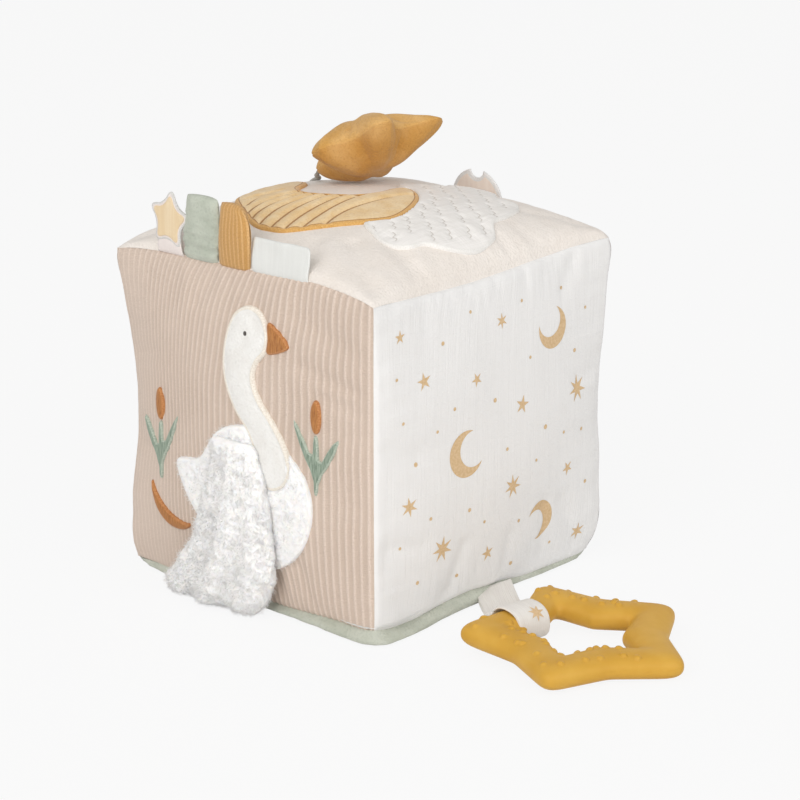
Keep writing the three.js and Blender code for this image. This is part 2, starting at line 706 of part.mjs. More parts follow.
add("corduroy_panel", panel(faces.front), materials.corduroy);
add("printed_panel", panel(faces.right), materials.print);
add("back_panel", panel(faces.back), materials.corduroy);
add("left_panel", panel(faces.left), materials.print);
add("top_panel", panel(faces.top), materials.cream);
add("base_panel", panel(faces.base), materials.sage);
add("stuffing", stuffing(), materials.filling);
add("swan_neck", swanNeck(), materials.velour);
add("swan_body", swanBody(), materials.sherpa);
add("swan_beak", swanBeak(), materials.rust);
add("swan_eye", swanEye(), materials.eye);
add("reeds_left", reeds(-leftReedPlace, leftReedFoot, false), materials.reed);
add("cattail_left", cattail(-leftReedPlace, leftReedFoot), materials.rust);
add("reeds_right", reeds(rightReedPlace, rightReedFoot, true), materials.reed);
add("cattail_right", cattail(rightReedPlace, rightReedFoot), materials.rust);
add("rust_leaf", rustLeaf(), materials.rust);
add("wing_flap", wingFlap(), materials.sherpa);
add("tail_applique", tailShape(), materials.ochre);
add("cloud_applique", cloudShape(), materials.cloud);
add("star_tag", starTag(), materials.peach);
const sageLoop = loopTag(sageTagWidth, sageTagHeight, sageTagDepth, -gap);
add("sage_tag", flatTag(sageLoop, sageTagPlace, sageTagWidth), materials.sage);
const cordLoop = loopTag(cordTagWidth, cordTagHeight, cordTagDepth, -gap);
add("corduroy_tag", flatTag(cordLoop, cordTagPlace, cordTagWidth), materials.ochreCorduroy);
add("label_tag", label(), materials.label);
add("moon_tag", moonTag(), materials.moon);
add("teether_strap", strap(), materials.ribbon);
add("star_teether", teetherRing(), materials.silicone);
const star = add("plush_star", plushStar(), materials.plush);
star.applyMatrix4(plushMatrix());
add("star_tether", tether(), materials.cord);

export default block;
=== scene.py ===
"""The looks of the soft fabric activity block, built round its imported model.

Lengths are in millimetres until a mesh is made, which is in metres. A face's own two directions run
from -1 to 1 between its seams.
"""

import json
import math

import bpy
import numpy as np
from mathutils import Matrix, Vector
from mathutils.geometry import delaunay_2d_cdt
from mathutils.kdtree import KDTree


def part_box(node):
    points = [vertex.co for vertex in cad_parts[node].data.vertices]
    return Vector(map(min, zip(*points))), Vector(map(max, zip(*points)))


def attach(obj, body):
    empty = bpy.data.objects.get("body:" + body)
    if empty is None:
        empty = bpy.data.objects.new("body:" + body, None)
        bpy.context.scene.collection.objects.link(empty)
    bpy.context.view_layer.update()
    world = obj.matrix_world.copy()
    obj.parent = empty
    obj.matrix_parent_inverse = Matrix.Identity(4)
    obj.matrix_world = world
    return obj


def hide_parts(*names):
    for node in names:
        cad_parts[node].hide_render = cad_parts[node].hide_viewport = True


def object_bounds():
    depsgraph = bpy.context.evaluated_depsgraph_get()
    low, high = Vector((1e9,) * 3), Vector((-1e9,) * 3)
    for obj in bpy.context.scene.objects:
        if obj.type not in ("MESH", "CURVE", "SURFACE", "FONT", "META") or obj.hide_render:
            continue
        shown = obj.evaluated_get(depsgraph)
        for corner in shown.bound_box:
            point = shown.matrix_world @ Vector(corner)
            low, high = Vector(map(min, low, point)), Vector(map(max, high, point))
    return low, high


MM = 0.001
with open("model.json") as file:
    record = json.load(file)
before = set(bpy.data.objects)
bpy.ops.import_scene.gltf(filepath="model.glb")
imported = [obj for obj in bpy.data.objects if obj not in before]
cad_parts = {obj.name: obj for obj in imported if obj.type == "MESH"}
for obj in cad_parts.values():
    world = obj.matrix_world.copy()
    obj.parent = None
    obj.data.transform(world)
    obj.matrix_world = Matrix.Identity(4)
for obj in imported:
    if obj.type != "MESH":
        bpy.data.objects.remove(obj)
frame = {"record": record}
CAD_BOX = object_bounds()

# The block
BLOCK_WIDTH = 149.0
TOP_SEAM_HEIGHT = 152.5
BASE_SEAM_HEIGHT = 6.5
GAP = 0.3
HALF = BLOCK_WIDTH / 2
SEAM_SPAN = TOP_SEAM_HEIGHT - BASE_SEAM_HEIGHT

# How the faces swell between their seams
TOP_CROWN = 18.4
CROWN_SHARE = 0.5
CROWN_BACK_SHARE = 0.13
SIDE_CROWN = 7.0
SIDE_CROWN_SHARE = 0.62

# How the corners poke out, and how round they are
CORNER_POKE = 3.5
LOW_CORNER_POKE = 1.0
CORNER_POWER = 4
CORNER_FADE = 1.6
CORNER_ROUND = 0.7
CORNER_ROUND_WIDTH = 4.0

# The base's roll, and how the sides are drawn in above it
FOOT_INSET = 5.5
FOOT_EDGE = 2.5
FOOT_BULGE = 5.5
FOOT_CORNER = 11.0
LOW_TUCK = 2.8
LOW_TUCK_HEIGHT = 20.0
LOW_TUCK_FRONT_SHARE = 0.1
LOW_CORNER_SHARE = 0.45

# How far each upright edge is drawn in, from the base seam at -1 to the top one at 1, by the signs of X and Y
EVEN_EDGE = [(-1, 0.6), (0, 0.6), (0.5, 0.3), (1, 0)]
EDGE_BOWS = {
    (-1, -1): [
        (-1, 0.8), (-0.85, 0.3), (-0.6, 0.2), (-0.5, 0.6), (-0.4, 1.7), (-0.28, 2.6), (0, 2.7), (0.25, 2.3),
        (0.5, 1.35), (0.75, 0.4), (1, 0),
    ],
    (1, -1): EVEN_EDGE,
    (-1, 1): EVEN_EDGE,
    (1, 1): [
        (-1, -1.4), (-0.76, -1.4), (-0.4, -1.1), (-0.16, -0.4), (0.08, -0.7), (0.35, -1.4), (0.75, -1.3),
        (0.84, -1.0), (1, -0.3),
    ],
}

# How far each top corner hangs below the seams, in the same order
CORNER_DROPS = [3.0, 1.6, 3.0, 0.6]

# Seams, puckers and slack
SEAM_GROOVE = 0.7
SEAM_GROOVE_WIDTH = 1.0
SEAM_WANDER = 0.45
SEAM_WANDER_LENGTH = 13.0
SEAM_WANDER_REACH = 6.0
SEAM_FALL_REACH = 24.0
PUCKER = 0.42
PUCKER_REACH = 7.0
PUCKER_LENGTH = 6.5
PUCKER_DEPTH = 26.0
FINE_PUCKER_SHARE = 0.45
FINE_PUCKER_DEPTH = 14.0
SWELL = 1.0
SWELL_LENGTH = 42.0
SLACK_FADE = 7.0
BASE_FADE = 8.0

# The corduroy's wales, in millimetres and in shares of half the panel
RIB_COUNT = 45
RIB_HEIGHT = 0.38
RIB_POWER = 1.8
RIB_FADE = 2.0
RIB_SPREAD_SHARE = 0.06
PULL_HEIGHT_SHARE = 0.34
SLANT_SHARE = 0.17
SLANT_HEIGHT_SHARE = 0.3
SLANT_MIDDLE_SHARE = -0.25
SLANT_WIDTH_SHARE = 0.55
WAVE_SHARE = 0.007
PLAIN_EDGE_SHARE = 0.86
PLAIN_LOW_SHARE = 0.3
PLAIN_WANDER_SHARE = 0.05
PLAIN_FADE_SHARE = 0.25
PLAIN_HEIGHT_SHARE = 0.3

# Where the wales are pulled aside above the base's seam: middle, half width and how far
PULL_SHARES = [(0.12, 0.34, -0.17), (-0.55, 0.25, 0.03)]

# How far the sewn-on shapes lie above the skin, and how deep their skirts and the filling lie below it
RIB_LIFT = 0.45
TOP_LIFT = 0.3
SKIRT = 0.8
WAD_INSET = 7.0

# How far the seams hang below their even heights, by how far round the block: 0 to 1 is the front
TOP_SEAM_FALLS = [
    (0, 0), (0.58, 0), (0.78, -1.3), (0.92, -0.6), (1.0, 0.3), (1.08, 2.4), (1.16, 3.6), (1.3, 4.8),
    (1.45, 4.8), (1.6, 4.0), (1.73, 3.0), (1.9, 1.6), (2.0, 0.6), (2.2, 0), (4, 0),
]
BASE_SEAM_FALLS = [
    (0, 3.7), (0.3, 3.4), (0.5, 2.8), (0.65, 3.1), (0.8, 2.1), (0.93, 1.4), (1.0, 1.0), (1.06, 2.0),
    (1.15, 3.5), (1.23, 2.8), (1.31, 1.0), (1.42, 0.5), (1.55, 1.6), (1.68, 4.0), (1.8, 4.3), (2.0, 4.2),
    (2.3, 2.6), (2.6, 3.0), (3.0, 3.1), (3.3, 2.0), (3.6, 3.1), (4.0, 3.7),
]

# How far the base's roll reaches past its even outline, by how far round the block
FOOT_SPREADS = [
    (0, -3.2), (0.06, -2.2), (0.15, -0.6), (0.3, 0), (0.69, 0), (0.86, 2.5), (0.94, 3.3), (1.0, 3.5),
    (1.11, 4.8), (1.21, 3.5), (1.3, 1.2), (1.38, 0.5), (1.45, 1.2), (1.52, -0.5), (1.6, -2.4), (1.8, -2.4),
    (1.93, -2.6), (2.0, -3.6), (2.1, -3.4), (2.5, -2.0), (3.0, -2.5), (3.5, -2.0), (4.0, -3.2),
]

# Creases of the slack fabric: face, two ends in the face's own directions, half width and depth
CREASES = [
    ("front", (0.5, 0.52), (0.95, 0.42), 4.0, 1.0), ("front", (0.62, 0.36), (0.97, 0.3), 3.5, 0.7),
    ("front", (0.45, 0.8), (0.93, 0.66), 5.0, 0.9), ("front", (0.12, -0.93), (-0.06, -0.62), 3.0, 1.2),
    ("front", (0.34, -0.96), (0.2, -0.7), 3.2, 1.1), ("front", (0.56, -0.97), (0.46, -0.72), 3.0, 0.9),
    ("front", (-0.93, 0.3), (-0.72, 0.36), 4.0, 0.8), ("front", (-0.95, -0.2), (-0.78, -0.3), 4.0, 0.8),
    ("front", (-0.2, 0.95), (-0.34, 0.74), 3.5, 0.7), ("front", (0.1, 0.96), (0.16, 0.72), 4.0, 0.6),
    ("right", (-0.96, 0.1), (-0.7, 0.0), 5.0, 0.7), ("right", (-0.95, -0.5), (-0.66, -0.58), 4.5, 0.8),
    ("right", (-0.4, -0.95), (-0.3, -0.66), 4.0, 0.9), ("right", (0.1, -0.96), (0.12, -0.7), 4.0, 0.9),
    ("right", (0.5, -0.95), (0.44, -0.6), 5.0, 1.0), ("right", (0.8, -0.92), (0.62, -0.62), 5.0, 1.2),
    ("right", (0.96, 0.2), (0.74, 0.14), 5.0, 0.8), ("right", (0.7, 0.95), (0.6, 0.72), 4.0, 0.6),
    ("top", (0.93, -0.93), (0.5, -0.62), 5.0, 1.6), ("top", (0.95, -0.6), (0.6, -0.46), 4.5, 1.2),
    ("top", (0.45, -0.95), (0.3, -0.72), 4.5, 1.2), ("top", (-0.93, -0.93), (-0.66, -0.7), 4.0, 1.2),
    ("top", (0.93, 0.93), (0.66, 0.66), 4.5, 1.2), ("top", (0.95, 0.2), (0.7, 0.16), 5.0, 0.8),
    ("top", (-0.95, 0.6), (-0.7, 0.5), 5.0, 0.8), ("top", (-0.93, 0.93), (-0.66, 0.7), 4.0, 1.0),
    ("back", (0.2, -0.95), (0.3, -0.6), 4.5, 1.0), ("back", (-0.6, 0.95), (-0.5, 0.6), 4.5, 0.9),
    ("back", (-0.3, -0.95), (-0.24, -0.68), 3.5, 1.0), ("back", (0.95, 0.3), (0.66, 0.24), 4.5, 0.8),
    ("left", (0.2, -0.95), (0.1, -0.66), 4.5, 1.0), ("left", (-0.5, 0.95), (-0.4, 0.66), 4.5, 0.8),
    ("left", (0.95, -0.4), (0.68, -0.3), 4.5, 0.9), ("left", (-0.95, 0.1), (-0.7, 0.16), 4.5, 0.8),
]


# Noise, curves and filled outlines


def value_noise(points, seed=0):
    """Smooth noise from -1 to 1 at each point, with features about one unit across."""
    points = np.asarray(points, float)
    base = np.floor(points).astype(np.int64)
    part = points - base
    part = part * part * (3 - 2 * part)
    total = np.zeros(len(points))
    for corner in np.ndindex(*(2,) * points.shape[1]):
        cell = base + corner
        mixed = np.full(len(points), seed * 2654435761 + 97, np.int64)
        for axis, factor in zip(range(points.shape[1]), (73856093, 19349663, 83492791)):
            mixed = mixed ^ (cell[:, axis] * factor)
        mixed = (mixed ^ (mixed >> 13)) * 1274126177 & 0xFFFFFFFF
        mixed = (mixed ^ (mixed >> 16)) * 668265263 & 0xFFFFFFFF
        value = ((mixed >> 9) & 0xFFFF) / 32767.5 - 1
        total += value * np.prod(np.where(corner, part, 1 - part), axis=1)
    return total


def curly(points, seed):
    """The height of curly pile, from about -1 to 1, for points in millimetres."""
    points = np.asarray(points, float)
    warp = np.column_stack([value_noise(points / 3.4, seed + k) for k in range(points.shape[1])])
    tufts = value_noise(points / 4.8 + 0.5 * warp, seed + 7)
    curls = 1 - 2 * np.abs(value_noise(points / 2.3 + 0.7 * warp, seed + 11))
    return 0.6 * tufts + 0.4 * curls


def layered_noise(points, seed=0, octaves=3):
    """Noise with finer and weaker noise on top of it."""
    points = np.asarray(points, float)
    return sum(value_noise(points * 2**k, seed + k) * 0.5**k for k in range(octaves))


def bell(offset, width):
    """1 in the middle, falling off over a width on both sides."""
    return np.exp(-((offset / width) ** 2))


def units(vectors):
    """The same ways, each of length 1."""
    return vectors / np.linalg.norm(vectors, axis=1)[:, None]


def full_turn(count):
    """Angles spaced evenly round a circle."""
    return np.linspace(0, 2 * math.pi, count, endpoint=False)


def circle(angles):
    return np.column_stack([np.cos(angles), np.sin(angles)])


def reaches(line):
    """How far along a line each of its points lies."""
    return np.concatenate([[0], np.cumsum(np.linalg.norm(np.diff(line, axis=0), axis=1))])


def smooth_curve(points, count, closed=True):
    """Points spaced evenly along a smooth curve through the given ones."""
    points = np.asarray(points, float)
    if closed:
        hull = np.vstack([points[-1], points, points[:2]])
    else:
        hull = np.vstack([2 * points[0] - points[1], points, 2 * points[-1] - points[-2]])
    t = np.linspace(0, 1, 16, endpoint=False)[:, None]
    fine = []
    for p0, p1, p2, p3 in zip(hull, hull[1:], hull[2:], hull[3:]):
        bend = (2 * p0 - 5 * p1 + 4 * p2 - p3) * t**2 + (3 * p1 - p0 - 3 * p2 + p3) * t**3
        fine.append(0.5 * (2 * p1 + (p2 - p0) * t + bend))
    fine = np.vstack([*fine, hull[-2:-1]])
    return evenly(fine, count, closed)


def evenly(line, count, closed):
    """A line's points respaced evenly. A closed line repeats its first point at its end."""
    reach = reaches(line)
    at = np.linspace(0, reach[-1], count, endpoint=not closed)
    return np.column_stack([np.interp(at, reach, line[:, k]) for k in range(line.shape[1])])


def straight_outline(points, spacing):
    """A closed outline with straight sides, with points at about the given spacing."""
    points = np.asarray(points, float)
    sides = []
    for start, end in zip(points, np.roll(points, -1, axis=0)):
        steps = max(1, round(np.linalg.norm(end - start) / spacing))
        sides.append(start + (end - start) * np.linspace(0, 1, steps, endpoint=False)[:, None])
    return np.vstack(sides)


def softened(outline, times, count):
    """A closed outline with its corners cut round, its points spaced evenly."""
    for _ in range(times):
        ahead = np.roll(outline, -1, axis=0)
        near, far = 0.75 * outline + 0.25 * ahead, 0.25 * outline + 0.75 * ahead
        outline = np.stack([near, far], axis=1).reshape(-1, 2)
    return evenly(np.vstack([outline, outline[:1]]), count, True)


def distance_to(points, line, closed=True):
    """The distance from each point to a line."""
    ends = np.roll(line, -1, axis=0) if closed else line[1:]
    starts = line if closed else line[:-1]
    along = ends - starts
    away = points[:, None, :] - starts[None]
    share = np.einsum("psk,sk->ps", away, along) / np.maximum((along**2).sum(1), 1e-12)
    nearest = away - np.clip(share, 0, 1)[..., None] * along[None]
    return np.sqrt((nearest**2).sum(2).min(1))


FAR = 99.0
LINE_REACH = 4


def nearest_line(points, lines):
    """The distance from each point to the nearest line, where one is near."""
    found = np.full(len(points), FAR)
    for line in lines:
        low, high = line.min(0) - LINE_REACH, line.max(0) + LINE_REACH
        near = np.all((points > low) & (points < high), axis=1)
        if near.any():
            found[near] = np.minimum(found[near], distance_to(points[near], line, closed=False))
    return found


def is_inside(points, outline):
    """Whether each point lies inside a closed outline."""
    x, y = points[:, :1], points[:, 1:]
    x1, y1 = outline[:, 0], outline[:, 1]
    x2, y2 = np.roll(x1, -1), np.roll(y1, -1)
    crosses = (y1 > y) != (y2 > y)
    rise = np.where(y2 == y1, 1e-9, y2 - y1)
    return (crosses & (x < (x2 - x1) * (y - y1) / rise + x1)).sum(1) % 2 == 1


def filled(outline, cell, rings=(), lines=()):
    """Points and triangles that fill an outline, with rows of points inside its edge and along lines."""
    ahead = np.roll(outline, -1, axis=0)
    turn = np.sign(np.sum(outline[:, 0] * ahead[:, 1] - ahead[:, 0] * outline[:, 1]))
    along = units(ahead - np.roll(outline, 1, axis=0))
    inwards = np.column_stack([-along[:, 1], along[:, 0]]) * turn
    points = [outline]
    for ring in rings:
        moved = outline + inwards * ring
        points.append(moved[distance_to(moved, outline) > 0.96 * ring])
    low, high = outline.min(0), outline.max(0)
    rows = np.arange(low[1], high[1], cell * 0.866)
    places = np.arange(low[0], high[0], cell)
    inner = np.array([[x + (k % 2) * cell / 2, y] for k, y in enumerate(rows) for x in places])
    inner = inner[is_inside(inner, outline)]
    inner = inner[distance_to(inner, outline) > max(rings, default=0) + 0.6 * cell]
    for line in lines:
        inner = inner[distance_to(inner, line, closed=False) > 0.4 * cell]
    points.append(inner)
    for line in lines:
        sewn = line[is_inside(line, outline)]
        points.append(sewn[distance_to(sewn, outline) > max(rings, default=0) + 0.3 * cell])
    flat = np.vstack(points)
    count = len(outline)
    edges = [(k, (k + 1) % count) for k in range(count)]
    made = delaunay_2d_cdt([Vector(p) for p in flat], edges, [], 1, 1e-6)
    return np.array([list(p) for p in made[0]]), [list(f) for f in made[2]]


def boundary_of(faces):
    """The edges that only one face has, each in its face's direction."""
    edges = {}
    for face in faces:
        for a, b in zip(face, [*face[1:], face[0]]):
            edges[(a, b)] = True
    return [(a, b) for a, b in edges if (b, a) not in edges]


def grid_faces(rows, columns, wrap_rows=False, wrap_columns=False):
    """Quads of a grid of points kept row by row."""
    used_rows = rows if wrap_rows else rows - 1
    used_columns = columns if wrap_columns else columns - 1
    i, j = np.meshgrid(np.arange(used_rows), np.arange(used_columns), indexing="ij")
    i, j = i.ravel(), j.ravel()
    i2, j2 = (i + 1) % rows, (j + 1) % columns
    return np.column_stack([i * columns + j, i * columns + j2, i2 * columns + j2, i2 * columns + j])


# Meshes


def piece(name, points, faces, paint, body, node=None, values=None):
    """A smooth mesh piece from points in millimetres, with named values for its paint at each point."""
    mesh = bpy.data.meshes.new(name)
    faces = faces.tolist() if isinstance(faces, np.ndarray) else faces
    mesh.from_pydata((np.asarray(points) * MM).tolist(), [], faces)
    mesh.polygons.foreach_set("use_smooth", np.ones(len(mesh.polygons), bool))
    for key, value in (values or {}).items():
        value = np.asarray(value, np.float32)
        kind, field = ("FLOAT", "value") if value.ndim == 1 else ("FLOAT_VECTOR", "vector")
        mesh.attributes.new(key, kind, "POINT").data.foreach_set(field, value.ravel())
    mesh.validate()
    mesh.update()
    mesh.materials.append(paint.material)
    obj = bpy.data.objects.new(name, mesh)
    bpy.context.scene.collection.objects.link(obj)
    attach(obj, body)
    if node:
        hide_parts(node)
    return obj


def body_of(node):
    return next(body for body, nodes in frame["record"]["behaviour"]["bodies"].items() if node in nodes)


def edges_of(node):
    """The low and the high corner of a node's box, in millimetres."""
    low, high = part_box(node)
    return low / MM, high / MM


def joined(parts):
    """Several pairs of points and faces as one."""
    points, faces, start = [], [], 0
    for part_points, part_faces in parts:
        points.append(part_points)
        faces.extend((np.asarray(face) + start).tolist() for face in part_faces)
        start += len(part_points)
    return np.vstack(points), faces


def coordinates(mesh):
    found = np.zeros(len(mesh.vertices) * 3)
    mesh.vertices.foreach_get("co", found)
    return found.reshape(-1, 3)


# The block's skin


FACE_AXES = {
    "front": (1, -1), "right": (0, 1), "back": (1, 1), "left": (0, -1), "top": (2, 1), "base": (2, -1),
}
SPANS = np.array([HALF, HALF, SEAM_SPAN / 2])


def cube_place(face, u, v):
    """The place on a cube from -1 to 1 of a place on a face."""
    ones = np.ones_like(u)
    columns = {
        "front": (u, -ones, v), "right": (ones, u, v), "back": (-u, ones, v), "left": (-ones, -u, v),
        "top": (u, v, ones), "base": (u, -v, -ones),
    }
    return np.column_stack(columns[face])


def face_place(face, cube):
    """The place on a face, from -1 to 1 both ways, of places on the cube."""
    a, b, c = cube.T
    pairs = {
        "front": (a, c), "right": (b, c), "back": (-a, c), "left": (-b, c), "top": (a, b), "base": (a, -b),
    }
    return np.column_stack(pairs[face])


def square_reach(a, b):
    """How far out a place lies on a square's own scale, and never quite 0."""
    return np.maximum(np.maximum(np.abs(a), np.abs(b)), 1e-9)


def round_the_block(a, b):
    """How far round the block a place lies: 0 to 1 along the front, then the right, the back and the left."""
    reach = square_reach(a, b)
    a, b = a / reach, b / reach
    level = np.abs(b) >= np.abs(a)
    along = np.where(level & (b < 0), (a + 1) / 2, 2 + (1 - a) / 2)
    return np.where(level, along, np.where(a > 0, 1 + (b + 1) / 2, 3 + (1 - b) / 2))


def read_off(at, table, period=None):
    """A table's value at each place, smooth between its own places."""
    places, values = np.array(table).T
    shifts = np.linspace(-0.04, 0.04, 5)
    return sum(np.interp(at + shift, places, values, period=period) for shift in shifts) / len(shifts)


def round_table(a, b, table):
    """The value of a table that runs round the block."""
    return read_off(round_the_block(a, b), table, 4)


def by_corner(a, b, values):
    """The value of the corner that each place belongs to: front left, front right, back left, back right."""
    return np.choose((a > 0) + 2 * (b > 0), values)


def drawn_in(cube):
    """Where the fabric lies before its faces swell."""
    a, b, c = cube.T
    edge = np.abs(a * b) ** CORNER_POWER
    poke = np.where(c > 0, CORNER_POKE, LOW_CORNER_POKE) * edge * np.abs(c) ** CORNER_FADE
    bow = by_corner(a, b, [read_off(c, EDGE_BOWS[x, y]) for y in (-1, 1) for x in (-1, 1)]) * edge
    low = np.clip(1 - SEAM_SPAN * (c + 1) / 2 / LOW_TUCK_HEIGHT, 0, 1)
    back_share = LOW_TUCK_FRONT_SHARE + (1 - LOW_TUCK_FRONT_SHARE) * ((b + 1) / 2) ** 1.5
    tuck = LOW_TUCK * low**2 * back_share * (1 + LOW_CORNER_SHARE * edge)
    reach = np.linalg.norm((1 - np.abs(cube)) * SPANS, axis=1)
    blunt = CORNER_ROUND * bell(reach, CORNER_ROUND_WIDTH)
    x = a * (HALF + poke - bow - tuck) - np.sign(a) * blunt
    y = b * (HALF + poke - bow - tuck) - np.sign(b) * blunt
    rim = np.maximum(np.abs(a), np.abs(b))
    edge_share = np.clip(1 - (1 - rim) * HALF / SEAM_FALL_REACH, 0, 1) ** 2
    high = np.clip(1 - SEAM_SPAN * (1 - c) / 2 / SEAM_FALL_REACH, 0, 1) ** 2
    z = BASE_SEAM_HEIGHT + SEAM_SPAN * (c + 1) / 2 - np.sign(c) * blunt * 0.8
    z = z - np.where(c > 0, by_corner(a, b, CORNER_DROPS) * edge * np.abs(c) ** CORNER_POWER, 0)
    z = z - round_table(a, b, TOP_SEAM_FALLS) * edge_share * high
    z = z - round_table(a, b, BASE_SEAM_FALLS) * low**2
    return np.column_stack([x, y, z])


def rounded_square(a, b, half, corner):
    """The place on a square with round corners that lies the way of a and b."""
    reach = square_reach(a, b)
    place = np.column_stack([a, b]) / reach[:, None] * half
    core = np.clip(place, corner - half, half - corner)
    away = place - core
    return core + away / np.maximum(np.linalg.norm(away, axis=1), 1e-9)[:, None] * corner


def foot_roll(a, b):
    """The base's cloth: flat on the floor, and rolled up round its edge to the seam."""
    reach = square_reach(a, b)
    inset = FOOT_INSET / HALF
    seam = drawn_in(np.column_stack([a / reach, b / reach, -np.ones_like(a)]))
    spread = round_table(a, b, FOOT_SPREADS)[:, None]
    foot = rounded_square(a, b, HALF - FOOT_EDGE + spread, FOOT_CORNER)
    bulge = rounded_square(a, b, HALF + FOOT_BULGE + np.where(spread < 0, 2, 1) * spread, FOOT_CORNER)
    t = np.clip((reach - 1 + inset) / inset, 0, 1)[:, None]
    flat = (1 - t) ** 2 * foot + 2 * t * (1 - t) * bulge + t**2 * seam[:, :2]
    inner = np.clip(reach / (1 - inset), 0, 1)[:, None]
    level = (0.2 * t * (1 - t) + t**2)[:, 0] * seam[:, 2]
    return np.column_stack([flat * inner, level])


def smooth_skin(face, u, v):
    """The block's skin without its seams, puckers and folds."""
    cube = cube_place(face, u, v)
    axis, sign = FACE_AXES[face]
    if face == "base":
        return foot_roll(cube[:, 0], cube[:, 1]), cube
    points = drawn_in(cube)
    others = [k for k in range(3) if k != axis]
    flat = np.clip((1 - cube[:, others[0]] ** 2) * (1 - cube[:, others[1]] ** 2), 0, None)
    if face == "top":
        points[:, 2] += TOP_CROWN * flat ** (CROWN_SHARE - CROWN_BACK_SHARE * np.clip(cube[:, 1], 0, 1))
    else:
        points[:, axis] += sign * SIDE_CROWN * flat**SIDE_CROWN_SHARE
    return points, cube


def fabric_detail(face, cube):
    """How far seams, puckers and slack move the fabric outwards at places on the cube."""
    axis, sign = FACE_AXES[face]
    others = [k for k in range(3) if k != axis]
    place = cube * SPANS
    gaps = [(1 - np.abs(cube[:, k])) * SPANS[k] for k in others]
    nearest = np.minimum(*gaps)
    groove = -SEAM_GROOVE * bell(nearest, SEAM_GROOVE_WIDTH)
    wander = SEAM_WANDER * value_noise(place / SEAM_WANDER_LENGTH, 5) * bell(nearest, SEAM_WANDER_REACH)
    slack = SWELL * layered_noise(place / SWELL_LENGTH, 11, 2)
    pucker = np.zeros(len(cube))
    for k, away in zip(others, gaps):
        along = place[:, others[0] if k == others[1] else others[1]]
        side = (cube[:, k] > 0) + 2 * axis + 7 * (sign > 0) + 17 * k
        wave = value_noise(np.column_stack([along / PUCKER_LENGTH, away / PUCKER_DEPTH, side * 3.7]), 23)
        fine_along = along / (FINE_PUCKER_SHARE * PUCKER_LENGTH)
        fine = np.column_stack([fine_along, away / FINE_PUCKER_DEPTH, side * 5.1])
        wave = wave + 0.5 * value_noise(fine, 29)
        reach = away / PUCKER_REACH
        pucker = pucker + PUCKER * wave * reach * np.exp(1 - reach)
    own = face_place(face, cube) * np.array([HALF, SEAM_SPAN / 2])
    for crease_face, start, end, width, depth in CREASES:
        if crease_face == face:
            ends = np.array([start, end]) * np.array([HALF, SEAM_SPAN / 2])
            slack = slack - depth * bell(distance_to(own, ends, closed=False), width)
    if face == "base":
        flat = np.clip(nearest / BASE_FADE, 0, 1)
        return groove + (wander + pucker) * (1 - flat)
    return groove + wander + slack * np.clip(nearest / SLACK_FADE, 0, 1) + pucker


def outwards(cube):
    """The way the fabric moves at places on the cube: out of its face, and halfway between two at a seam."""
    return units(np.sign(cube) * np.abs(cube) ** 15)


def skin(face, u, v):
    """Points of the block's skin at places on a face."""
    points, cube = smooth_skin(face, u, v)
    return points + outwards(cube) * fabric_detail(face, cube)[:, None]


def skin_normal(face, u, v):
    """The way that the smooth skin looks at places on a face."""
    step = 1e-3
    along = smooth_skin(face, u + step, v)[0] - smooth_skin(face, u - step, v)[0]
    up = smooth_skin(face, u, v + step)[0] - smooth_skin(face, u, v - step)[0]
    return units(np.cross(along, up))


# Which of X, Y and Z a face's own two directions follow, and with which sign
FACE_READS = {
    "front": ((0, 1), (2, 1)),
    "right": ((1, 1), (2, 1)),
    "back": ((0, -1), (2, 1)),
    "left": ((1, -1), (2, 1)),
    "top": ((0, 1), (1, 1)),
    "base": ((0, 1), (1, -1)),
}


def places_on(face, flat):
    """The places on a face that lie at two of the frame's own coordinates: X or Y, then Z, or Y on top."""
    (first, first_sign), (second, second_sign) = FACE_READS[face]
    u = flat[:, 0] / HALF
    middle = BASE_SEAM_HEIGHT + SEAM_SPAN / 2 if second == 2 else 0.0
    span = SPANS[second]
    v = (flat[:, 1] - middle) / span
    for _ in range(8):
        u, v = np.clip(u, -0.999, 0.999), np.clip(v, -0.999, 0.999)
        points = smooth_skin(face, u, v)[0]
        u = u + (flat[:, 0] - first_sign * points[:, first]) / HALF
        v = v + (flat[:, 1] - second_sign * points[:, second]) / span
    return np.clip(u, -0.999, 0.999), np.clip(v, -0.999, 0.999)


def lifted(face, flat, height):
    """Points above a face at a height over its skin."""
    u, v = places_on(face, flat)
    return skin(face, u, v) + skin_normal(face, u, v) * np.asarray(height)[:, None]


def drift(u, v):
    """Where a panel's upright threads run: they wave a little, and slant where the cloth is drawn in."""
    low = bell(v + 1, PULL_HEIGHT_SHARE)
    pulled = sum(share * low * bell(u - middle, width) for middle, width, share in PULL_SHARES)
    slant = SLANT_SHARE * (1 - np.exp(-(1 - v) / SLANT_HEIGHT_SHARE))
    slant = slant * bell(u - SLANT_MIDDLE_SHARE, SLANT_WIDTH_SHARE) * (1 - u**4)
    waves = WAVE_SHARE * value_noise(np.column_stack([u * 3.0, v * 4.0]), 91)
    return u + RIB_SPREAD_SHARE * (1 - u * u) + pulled + slant + waves * np.clip((1 - np.abs(u)) * 8, 0, 1)


def plainness(u, v):
    """How far the wales are flattened: beside the left seam, more so lower down, and in the upper left."""
    wander = PLAIN_WANDER_SHARE * value_noise(np.column_stack([v * 4.0, u * 0]), 95)
    low = PLAIN_LOW_SHARE * np.clip(-v - 0.1, 0, 1)
    left = 1 - np.clip((u + PLAIN_EDGE_SHARE + wander - low) / PLAIN_FADE_SHARE, 0, 1)
    upper = np.exp(-(1 - v) / PLAIN_HEIGHT_SHARE) * np.clip((0.6 - u) / 1.2, 0, 1)
    return np.maximum(0.85 * left * left * (3 - 2 * left), 0.5 * upper)


